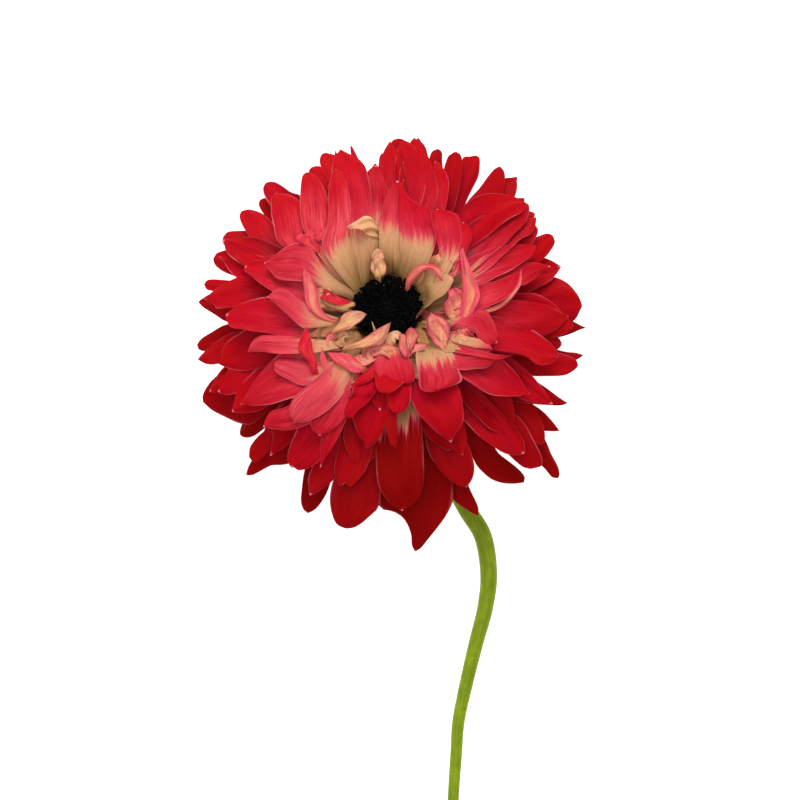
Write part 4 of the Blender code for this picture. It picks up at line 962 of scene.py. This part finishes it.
# The larger ones: tip, the spots of the left and of the right margin on the way there, heights at
# those spots and the tip, arch, blush and stain.
LEAFY_PETALOIDS = [
    ((-5, -1.8), [(-13.2, -6), (-12.2, -3.8), (-10.2, -1.5), (-7.8, -0.8)],
     [(-12.5, -6.8), (-10.5, -6), (-8.5, -5.2), (-6.5, -3.5)], (2.6, 4.6, 6, 6.4, 6), 0.6, 0.15, 0.6),
    ((1, -3.8), [(-10.5, -9.8), (-8.8, -9), (-6.2, -7.8), (-3.5, -6.2), (-0.8, -4.8)],
     [(-10, -10.8), (-6.8, -10.5), (-3.8, -10.2), (-1.2, -9), (0.2, -6.5)],
     (3, 4.6, 5.8, 6.4, 6.6, 6.4), 0.7, 0.35, 0.7),
    ((11, -1.2), [(13.8, -11.5), (11.8, -9), (10.2, -6.2), (10, -3.5)],
     [(14.8, -11.5), (15.5, -9), (15.8, -6.2), (15, -3.5)], (2.4, 4.4, 5.6, 6.4, 6.6), 0.6, 0.55, 0.5),
    ((19, 15), [(17.4, -3.4), (18.2, -1.4), (18.8, 3), (18.8, 7.2), (18.5, 11.2), (18.2, 13.8)],
     [(18.8, -4), (21.4, -1.6), (23.2, 2.2), (22.7, 5.5), (21.2, 9.2), (19.8, 12.5)],
     (3, 5, 6.2, 7, 7.6, 8, 8.2), 0.7, 0.85, 0),
    ((15.8, 3.4), [(4.5, 4.8), (5.2, 7.8), (7.5, 10.2), (10.2, 10.8), (13.2, 9.8), (15.5, 7.5)],
     [(5.8, 4.8), (7, 7), (9, 9), (10.8, 9.3), (12.2, 8.2), (13.5, 6.5)],
     (1, 3, 4.4, 5, 5, 4.4, 3.2), 0.3, 0.8, 0),
    ((-10.2, 20), [(-2.7, 11.2), (-2.6, 16.6), (-4.2, 17.9), (-6.2, 18.7), (-8.6, 19.4)],
     [(-2.1, 11.2), (-1.9, 18), (-2.8, 21.4), (-5.4, 22.7), (-8, 21.4)],
     (-1.6, 0.6, 5.2, 7, 7.2, 6.8), 0.5, -0.35, 0),
    ((-2.2, 12.6), [(-2.9, 7.2), (-4.1, 9.2), (-3.9, 11.4)], [(-1.3, 7.2), (-0.2, 9.2), (-0.5, 11.4)],
     (0.2, 3, 4.4, 4.6), 0.9, 0.05, 0.6),
    ((-2.4, 14.6), [(-2.9, 10.4), (-3.8, 12.4), (-3.3, 14)], [(-1.7, 10.4), (-0.7, 12.4), (-1.2, 14)],
     (2, 3.8, 4.4, 4.4), 0.8, 0.05, 0.3),
    ((-19, 19.8), [(-21.8, 16), (-20.5, 17.8)], [(-17.2, 16), (-18, 18)], (4.6, 5.2, 5.4), 0.5, 1.3, 0.1),
    ((-15, 20.2), [(-18.6, 15.4), (-17.4, 17.6)], [(-17.2, 15.2), (-15.8, 17)],
     (4.8, 5.4, 5.6), 0.3, 1.3, 0),
    ((-16.2, 3.5), [(-8.8, -1.2), (-11.8, -1.2), (-14.8, 0.2), (-16.5, 1.8)],
     [(-7.8, 1), (-10.2, 1.8), (-12.8, 2.5), (-14.8, 3.2)], (0, 2, 3.4, 4.2, 4.2), -0.5, 0, 0.8),
    ((-8.8, 1), [(-15, 1.4), (-11.8, 0.5)], [(-14.8, 2.4), (-11.8, 2.3)], (4.4, 4.8, 4.6), 0.3, 1.9, 0),
    ((-20.8, 9.8), [(-13, -4.5), (-17.2, -2.8), (-20, 0.5), (-20.8, 4.8), (-21, 8)],
     [(-12.2, -3.2), (-15.2, -2), (-17, 1), (-17.3, 4.2), (-18.8, 7.5)],
     (2, 4.2, 5.6, 6.6, 7.2, 7.4), 0.6, 0.8, 0),
    ((-15, -11.6), [(-5, -15), (-6.2, -16.3), (-8.5, -16.3), (-11, -15), (-13.5, -13.5)],
     [(-5.6, -14.2), (-6.5, -13.5), (-9.2, -12.2), (-12.2, -11.4), (-14.2, -11.3)],
     (2.4, 3.8, 4.6, 5, 5, 4.6), 0.5, 0.95, 0.1),
    ((-16.2, -10.2), [(-13, -17.8), (-14.2, -15.4), (-15.2, -12.8)],
     [(-13.6, -18), (-16, -15.2), (-16.8, -12.6)], (3.4, 4.4, 5, 5.2), 0.3, 0.9, 0.1),
    ((-20.2, -4.8), [(-17.2, -16.8), (-19.8, -13.8), (-22.2, -10.8), (-21.5, -7.8)],
     [(-16.2, -15.8), (-17.5, -13.2), (-18.5, -10.8), (-19, -7.8)], (2.6, 5.2, 6.4, 6.8, 6.8), 0.3, 2, 0),
    ((10.4, -9.6), [(5.2, -12.5), (6.5, -11.6), (8.2, -11)], [(6.2, -9.8), (7.4, -9.3), (8.8, -9.2)],
     (3.4, 4.6, 5, 5), 0.4, 0.5, 0.3),
    ((6, -4.8), [(4.2, -11), (3.8, -8.2), (4.6, -6.2)], [(5.4, -11.6), (7, -9.5), (7.8, -6.6)],
     (3, 4.6, 5.6, 5.8), -0.9, 0.6, 1),
    ((5.2, -13), [(4.6, -7.4), (5, -9.8), (6, -11.6)], [(3, -7.4), (2.9, -10.2), (3.8, -12.2)],
     (5.2, 5.2, 4.6, 4), 0.4, 0.7, 0.8),
    ((22.8, -4.2), [(16.5, -8.5), (18.8, -8.8), (21.2, -7.5)], [(16.2, -5.8), (17.8, -3.5), (20.2, -2.5)],
     (3, 4, 4.4, 4.2), 0.7, 0.8, 0.4),
]


# Petaloid tissue: the same satin skin, mostly cream, with a yellow-orange heart and a pink
# margin; the strength of the pink is noted on each piece.
petaloid_tissue, tree = new_material("petaloid tissue")
blade, growth, rim, stain = (add(tree, "Attribute", attribute_name=note)
                             for note in ("blade", "growth", "rim", "deep"))
shares = add(tree, "SeparateXYZ", {"Vector": growth.outputs["Vector"]})
fine_place = add(tree, "Mapping", {"Vector": blade.outputs["Vector"], "Scale": (3600.0, 300.0, 1000.0)})
fine = add(tree, "TexNoise", {"Vector": fine_place, "Scale": 1.0, "Detail": 3.0})
patch_place = add(tree, "Mapping", {"Vector": blade.outputs["Vector"], "Scale": (900.0, 420.0, 900.0)})
patch = add(tree, "TexNoise", {"Vector": patch_place, "Scale": 1.0, "Detail": 4.0, "Roughness": 0.6})

# A yellow-orange heart, blushed towards the margin and in patches, with fine red veins.
heart = add(tree, "ValToRGB", {"Fac": shares.outputs["X"]},
            stops=[(0.0, "#A08048"), (0.35, "#CC9E60"), (0.65, "#E0AC70"), (1.0, "#E4AC88")])
blush_margin = add(tree, "Math", {0: rim.outputs["Fac"], 1: shares.outputs["Z"]}, operation="ADD")
blush_patch = add(tree, "Math", {0: patch, 1: 0.7, 2: blush_margin}, operation="MULTIPLY_ADD")
blush = add(tree, "MapRange", {"Value": blush_patch, "From Min": 0.8, "From Max": 1.75})
how_red = add(tree, "MapRange", {"Value": shares.outputs["Z"], "From Max": 2.0})
pink_side = add(tree, "ValToRGB", {"Fac": how_red},
                stops=[(0.0, "#DE8478"), (0.3, "#E05868"), (0.55, "#E23E50"), (1.0, "#D0142C")])
blushed = add(tree, "Mix", {"Factor": blush, "A": heart, "B": pink_side}, data_type="RGBA")
vein = add(tree, "MapRange", {"Value": fine, "From Min": 0.5, "From Max": 0.7, "To Max": 0.6})
veined = add(tree, "Mix", {"Factor": vein, "A": blushed, "B": "#B84A40"}, data_type="RGBA")

# Dark stain at the edges and along thin fold lines, as strong as it is noted on each piece.
near_edge = add(tree, "Math", {0: patch, 1: 0.5, 2: rim.outputs["Fac"]}, operation="MULTIPLY_ADD")
dark_edge = add(tree, "MapRange", {"Value": near_edge, "From Min": 1.08, "From Max": 1.2, "To Max": 0.95})
off_line = add(tree, "Math", {0: patch, 1: 0.56}, operation="SUBTRACT")
how_far = add(tree, "Math", {0: off_line}, operation="ABSOLUTE")
fold_line = add(tree, "MapRange", {"Value": how_far, "From Min": 0.014, "From Max": 0.004, "To Max": 0.75})
dark = add(tree, "Math", {0: dark_edge, 1: fold_line}, operation="MAXIMUM")
stained = add(tree, "Math", {0: dark, 1: stain.outputs["Fac"]}, operation="MULTIPLY")
edged = add(tree, "Mix", {"Factor": stained, "A": veined, "B": "#401420"}, data_type="RGBA")

# The crumpled tissue and its veins as relief.
relief_of = add(tree, "Math", {0: patch, 1: 2.0, 2: fine}, operation="MULTIPLY_ADD")
relief = add(tree, "Bump", {"Height": relief_of, "Strength": 0.7, "Distance": 0.0002})
flesh = add(tree, "BsdfPrincipled", {"Base Color": edged, "Roughness": 0.55, "Specular IOR Level": 0.15,
                                     "Normal": relief})
add(tree, "OutputMaterial", {"Surface": flesh})

PETALOID_THICKNESS = 0.3
PETALOID_ROOT = (6.4, -8.0)
PETALOID_CLAW = 0.3
LEAFY_WIDTH = 4.0


def curled_form(draw, cup, peak):
    """How one petaloid grew: as a petal does, but more crumpled."""
    return dict(bend=0.0, roll=draw.uniform(-0.2, 0.2), twist=draw.uniform(-0.3, 0.3),
                cup=cup, hook=draw.uniform(-0.1, 0.7), wave=draw.uniform(0.12, 0.32),
                waves=draw.uniform(2.0, 4.5), phase=draw.uniform(0.0, 1.0), lip=draw.uniform(0.1, 0.4),
                lip_side=draw.choice([-1.0, 1.0]), peak=peak, spoon=1.6, crumple=0.15,
                creases=draw.uniform((-1.0, 1.5, 0.0), (1.0, 5.0, 1.0), (5, 3)), skew=0.0, points=[])


kept = defaultdict(list)
draw = np.random.default_rng(7)
for spots, width, blunt, blush_share, rolled, cup, peak, stain_share in PETALOIDS:
    knots = from_root(np.array([head_point(*spot) for spot in spots]), *PETALOID_ROOT)
    form = curled_form(draw, cup, peak)
    form["roll"] += np.radians(rolled)
    sheet = traced_sheet(knots, width, blunt, PETALOID_CLAW, form)
    take_in(kept, sheet, width, (0.0, blush_share, stain_share, 0.0, draw.uniform()))
for tip, left, right, heights, arch, blush_share, stain_share in LEAFY_PETALOIDS:
    sides = [from_root(seen_knots(margin + [tip], heights), *PETALOID_ROOT) for margin in (left, right)]
    sheet = outlined_sheet(*sides, arch, curled_form(draw, 0.0, 0.6))
    take_in(kept, sheet, LEAFY_WIDTH, (0.0, blush_share, stain_share, 0.0, draw.uniform()))
put_in_blades("petaloids", kept, PETALOID_THICKNESS, petaloid_tissue)


# Pistil: the dome in the middle of the eye, a cushion of tiny black carpels packed on spirals.
PISTIL_PROFILE = ((0.02, -0.65), (1.7, -1.0), (3.0, -1.9), (3.8, -3.3), (4.0, -4.7), (3.7, -5.4),
                  (0.02, -5.4))
CARPELS = 150
CARPEL_SIZE = (0.34, 0.34, 0.55)
GOLDEN_ANGLE = np.radians(137.508)
ANY_SPIN = (0.0, 6.28)


def bead(steps, rings):
    """A unit ball as a grid of angles, its poles closed to one point each: points and faces."""
    height = np.cos(np.linspace(0.0, np.pi, rings + 1))[1:-1]
    angle = np.linspace(0.0, TURN, steps, endpoint=False)
    wide = np.sqrt(1.0 - height ** 2)
    body = np.stack([wide[:, None] * np.cos(angle), wide[:, None] * np.sin(angle),
                     np.broadcast_to(height[:, None], (rings - 1, steps))], -1).reshape(-1, 3)
    points = np.vstack([[0.0, 0.0, 1.0], body, [0.0, 0.0, -1.0]])
    index = 1 + np.arange((rings - 1) * steps).reshape(rings - 1, steps)
    after = np.roll(index, -1, 1)
    quads = np.stack([index[:-1], index[1:], after[1:], after[:-1]], -1).reshape(-1, 4)
    top = [[0, i, j] for i, j in zip(index[0], after[0])]
    bottom = [[i, len(points) - 1, j] for i, j in zip(index[-1], after[-1])]
    return points, top + quads.tolist() + bottom


def scatter(form, faces, places, ways, sizes, spins):
    """Copies of a small form: scaled by its three sizes, turned so its length lies along a way, and
    moved to its place. All points at once, copies first."""
    helper = np.where(np.abs(ways @ AXIS)[:, None] > 0.9, SIDEWAYS, AXIS)
    east = unit(np.cross(helper, ways))
    north = np.cross(ways, east)
    turned_east = np.cos(spins)[:, None] * east + np.sin(spins)[:, None] * north
    basis = np.stack([turned_east, np.cross(ways, turned_east), ways], 1)
    scaled = form[None] * sizes[:, None]
    points = places[:, None] + np.einsum("npk,nkd->npd", scaled, basis)
    count = len(form)
    every = [[corner + copy * count for corner in face] for copy in range(len(places)) for face in faces]
    return points.reshape(-1, 3), every


# Black velvet tissue: dusty with pollen, so it has no gloss, and takes nearly all light. A few
# paler grains, 0.1 mm across, are pollen and painted glints in one: painted highlights where light
# catches the anthers.
black_tissue, tree = new_material("black anther tissue")
place = add(tree, "TexCoord")
pollen_and_glints = add(tree, "TexNoise", {"Vector": place.outputs["Object"], "Scale": 4200.0, "Detail": 2.0})
# The palest grains are partly painted glints.
tone = add(tree, "ValToRGB", {"Fac": pollen_and_glints}, stops=[(0.3, "#000001"), (0.66, "#030304"), (0.74, "#3C3A40")])
grain = add(tree, "Bump", {"Height": pollen_and_glints, "Strength": 0.4, "Distance": 0.00006})
velvet = add(tree, "BsdfPrincipled", {"Base Color": tone, "Roughness": 0.85, "Specular IOR Level": 0.06,
                                      "Normal": grain})
add(tree, "OutputMaterial", {"Surface": velvet})

order = np.arange(CARPELS) + 0.5
polar = np.sqrt(order / CARPELS)
carpel_out = around_eye(order * GOLDEN_ANGLE)
carpel_radius = 4.0 * np.sin(0.5 * np.pi * polar)
carpel_height = -0.75 - 3.2 * (1.0 - np.cos(0.5 * np.pi * polar)) ** 0.9
carpel_place = EYE + carpel_height[:, None] * AXIS + carpel_radius[:, None] * carpel_out
carpel_way = unit(AXIS + 0.9 * polar[:, None] * carpel_out)
carpel_size = np.tile(CARPEL_SIZE, (CARPELS, 1)) * draw.uniform(0.85, 1.15, (CARPELS, 1))
carpels = scatter(*bead(6, 4), carpel_place, carpel_way, carpel_size, draw.uniform(*ANY_SPIN, CARPELS))
put_in("pistil_dome", *turned(PISTIL_PROFILE, 32), black_tissue, "pistil", "pistil")
put_in("pistil_carpels", *carpels, black_tissue, "pistil", "pistil")


# Stamens: 230, in whorls round the pistil. Each is a black anther of two lobes, 1.4 mm long, pinned
# by its middle on a dark thread that springs from a low collar on the receptacle.
WHORLS = ((4.6, 30, -0.5), (5.5, 38, -0.2), (6.4, 46, -0.1), (7.3, 56, -0.3), (8.1, 60, -0.7))
COLLAR_PROFILE = ((3.4, -1.9), (4.6, -1.5), (6.2, -1.7), (7.0, -3.0), (6.8, -5.4), (3.4, -5.4), (3.4, -1.9))
ANTHER_SIZE = (0.42, 0.6, 0.8)
THREAD_RADIUS = 0.13
put_in("stamen_collar", *turned(COLLAR_PROFILE, 48, capped=False), black_tissue, "anther", "stamens")
angles, radii, heights = [], [], []
for radius, number, height in WHORLS:
    angles.append(TURN * (np.arange(number) + draw.uniform(-0.35, 0.35, number)) / number)
    radii.append(radius + draw.uniform(-0.35, 0.35, number))
    heights.append(height + draw.uniform(-0.45, 0.35, number))
angles, radii, heights = np.concatenate(angles), np.concatenate(radii), np.concatenate(heights)
stamens = len(angles)
outward = around_eye(angles)
heads = EYE + heights[:, None] * AXIS + radii[:, None] * outward
lean = AXIS * draw.uniform(0.1, 0.9, (stamens, 1)) + outward * draw.uniform(0.2, 1.0, (stamens, 1))
lean = unit(lean + np.cross(AXIS, outward) * draw.uniform(-0.8, 0.8, (stamens, 1)))
lobes, lobe_faces = bead(8, 6)
lobes[:, 0] *= 1.0 - 0.28 * np.exp(-(lobes[:, 1] / 0.3) ** 2) * np.abs(lobes[:, 0]) ** 0.5
anther_size = np.tile(ANTHER_SIZE, (stamens, 1)) * draw.uniform(0.85, 1.2, (stamens, 1))
anthers = scatter(lobes, lobe_faces, heads, lean, anther_size, draw.uniform(*ANY_SPIN, stamens))
put_in("anthers", *anthers, black_tissue, "anther", "stamens")

feet = EYE - 5.0 * AXIS + np.clip(radii, 4.9, 6.2)[:, None] * outward
threads = heads - feet
lengths = np.linalg.norm(threads, axis=1)
thread_size = np.stack([np.full(stamens, THREAD_RADIUS), np.full(stamens, THREAD_RADIUS), 0.5 * lengths], 1)
filaments = scatter(*bead(5, 4), 0.5 * (heads + feet), threads / lengths[:, None], thread_size,
                    np.zeros(stamens))
put_in("filaments", *filaments, black_tissue, "anther", "stamens")


# Stem: a fleshy green stalk, 4.8 mm thick under the bloom and 3 mm at its cut, finely ribbed and
# gently bent. It comes out from under the petals, lies along the surface and ends in a plain cut.
# Its path gives x, y and height of its middle, and the radius of its crests.
STEM_PATH = np.array([
    (-0.5, 37.9, 19.2, 2.5), (-0.3, 36.4, 15.2, 2.45), (1.2, 31.6, 8.6, 2.4), (4.8, 23.2, 4.0, 2.4),
    (10.0, 11.5, 2.4, 2.4), (15.0, 1.0, 2.36, 2.38), (19.8, -7.9, 2.34, 2.36), (24.0, -15.0, 2.32, 2.34),
    (25.5, -24.7, 2.22, 2.24), (24.6, -33.6, 2.08, 2.1), (22.1, -43.3, 1.92, 1.94),
    (19.7, -53.3, 1.76, 1.78), (17.6, -63.5, 1.62, 1.64), (17.0, -72.0, 1.54, 1.56),
    (16.4, -80.6, 1.48, 1.5), (16.0, -88.8, 1.44, 1.46),
])
STEM_SIDES = 48
STEM_PARTS = 10
RIBS = 11


def stem_tube(line, sides):
    """The stem's skin: circles carried along its middle line, their radius rippled by low ribs; the
    faces, with a cap on each end; and notes of where round and along the stem each point lies."""
    middle, radius = line[:, :3], line[:, 3]
    way = unit(np.gradient(middle, axis=0))
    aside = unit(np.cross(way, [0.0, 0.0, 1.0]))
    over = np.cross(way, aside)
    angle = np.linspace(0.0, TURN, sides, endpoint=False)
    rib = 1.0 - 0.02 * (1.0 - np.cos(RIBS * angle)) * 0.5
    ring = np.cos(angle)[None, :, None] * aside[:, None] + np.sin(angle)[None, :, None] * over[:, None]
    skin = middle[:, None] + (radius[:, None] * rib)[..., None] * ring
    skin[..., 2] = np.maximum(skin[..., 2], 0.0)
    run = np.append(0.0, np.cumsum(steps_of(middle)))
    strip = np.stack(np.broadcast_arrays(np.sin(angle) * 0.004, run[:, None] * MM, np.cos(angle) * 4.0), -1)
    index = np.arange(len(line) * sides).reshape(-1, sides)
    after = np.roll(index, -1, 1)
    quads = np.stack([index[:-1], after[:-1], after[1:], index[1:]], -1).reshape(-1, 4).tolist()
    return skin, quads + [index[0, ::-1].tolist(), index[-1].tolist()], {"strip": strip.reshape(-1, 3)}


# Stem skin: watery green epidermis with a faint bloom, satin, a little yellower on its crests,
# with long fibres 0.3 mm apart and soft mottling.
stem_tissue, tree = new_material("anemone stem skin")
strip = add(tree, "Attribute", attribute_name="strip")
place = add(tree, "TexCoord")
fibre_place = add(tree, "Mapping", {"Vector": strip.outputs["Vector"], "Scale": (3300.0, 120.0, 1.0)})
fibre = add(tree, "TexNoise", {"Vector": fibre_place, "Scale": 1.0, "Detail": 3.0})
mottle = add(tree, "TexNoise", {"Vector": place.outputs["Object"], "Scale": 420.0, "Detail": 4.0})
both = add(tree, "Math", {0: fibre, 1: mottle}, operation="ADD")
half_tone = add(tree, "MapRange", {"Value": both, "From Min": 0.55, "From Max": 1.4})
tone = add(tree, "ValToRGB", {"Fac": half_tone},
           stops=[(0.0, "#6A8200"), (0.6, "#829A04"), (1.0, "#9EB40C")])
relief = add(tree, "Bump", {"Height": fibre, "Strength": 0.2, "Distance": 0.0001})
skin = add(tree, "BsdfPrincipled", {"Base Color": tone, "Roughness": 0.5, "Specular IOR Level": 0.22,
                                    "Normal": relief})
add(tree, "OutputMaterial", {"Surface": skin})

skin_grid, faces, notes = stem_tube(flowing_line(STEM_PATH, STEM_PARTS), STEM_SIDES)
put_in("stem_stalk", skin_grid, faces, stem_tissue, "stem", "stem", notes)
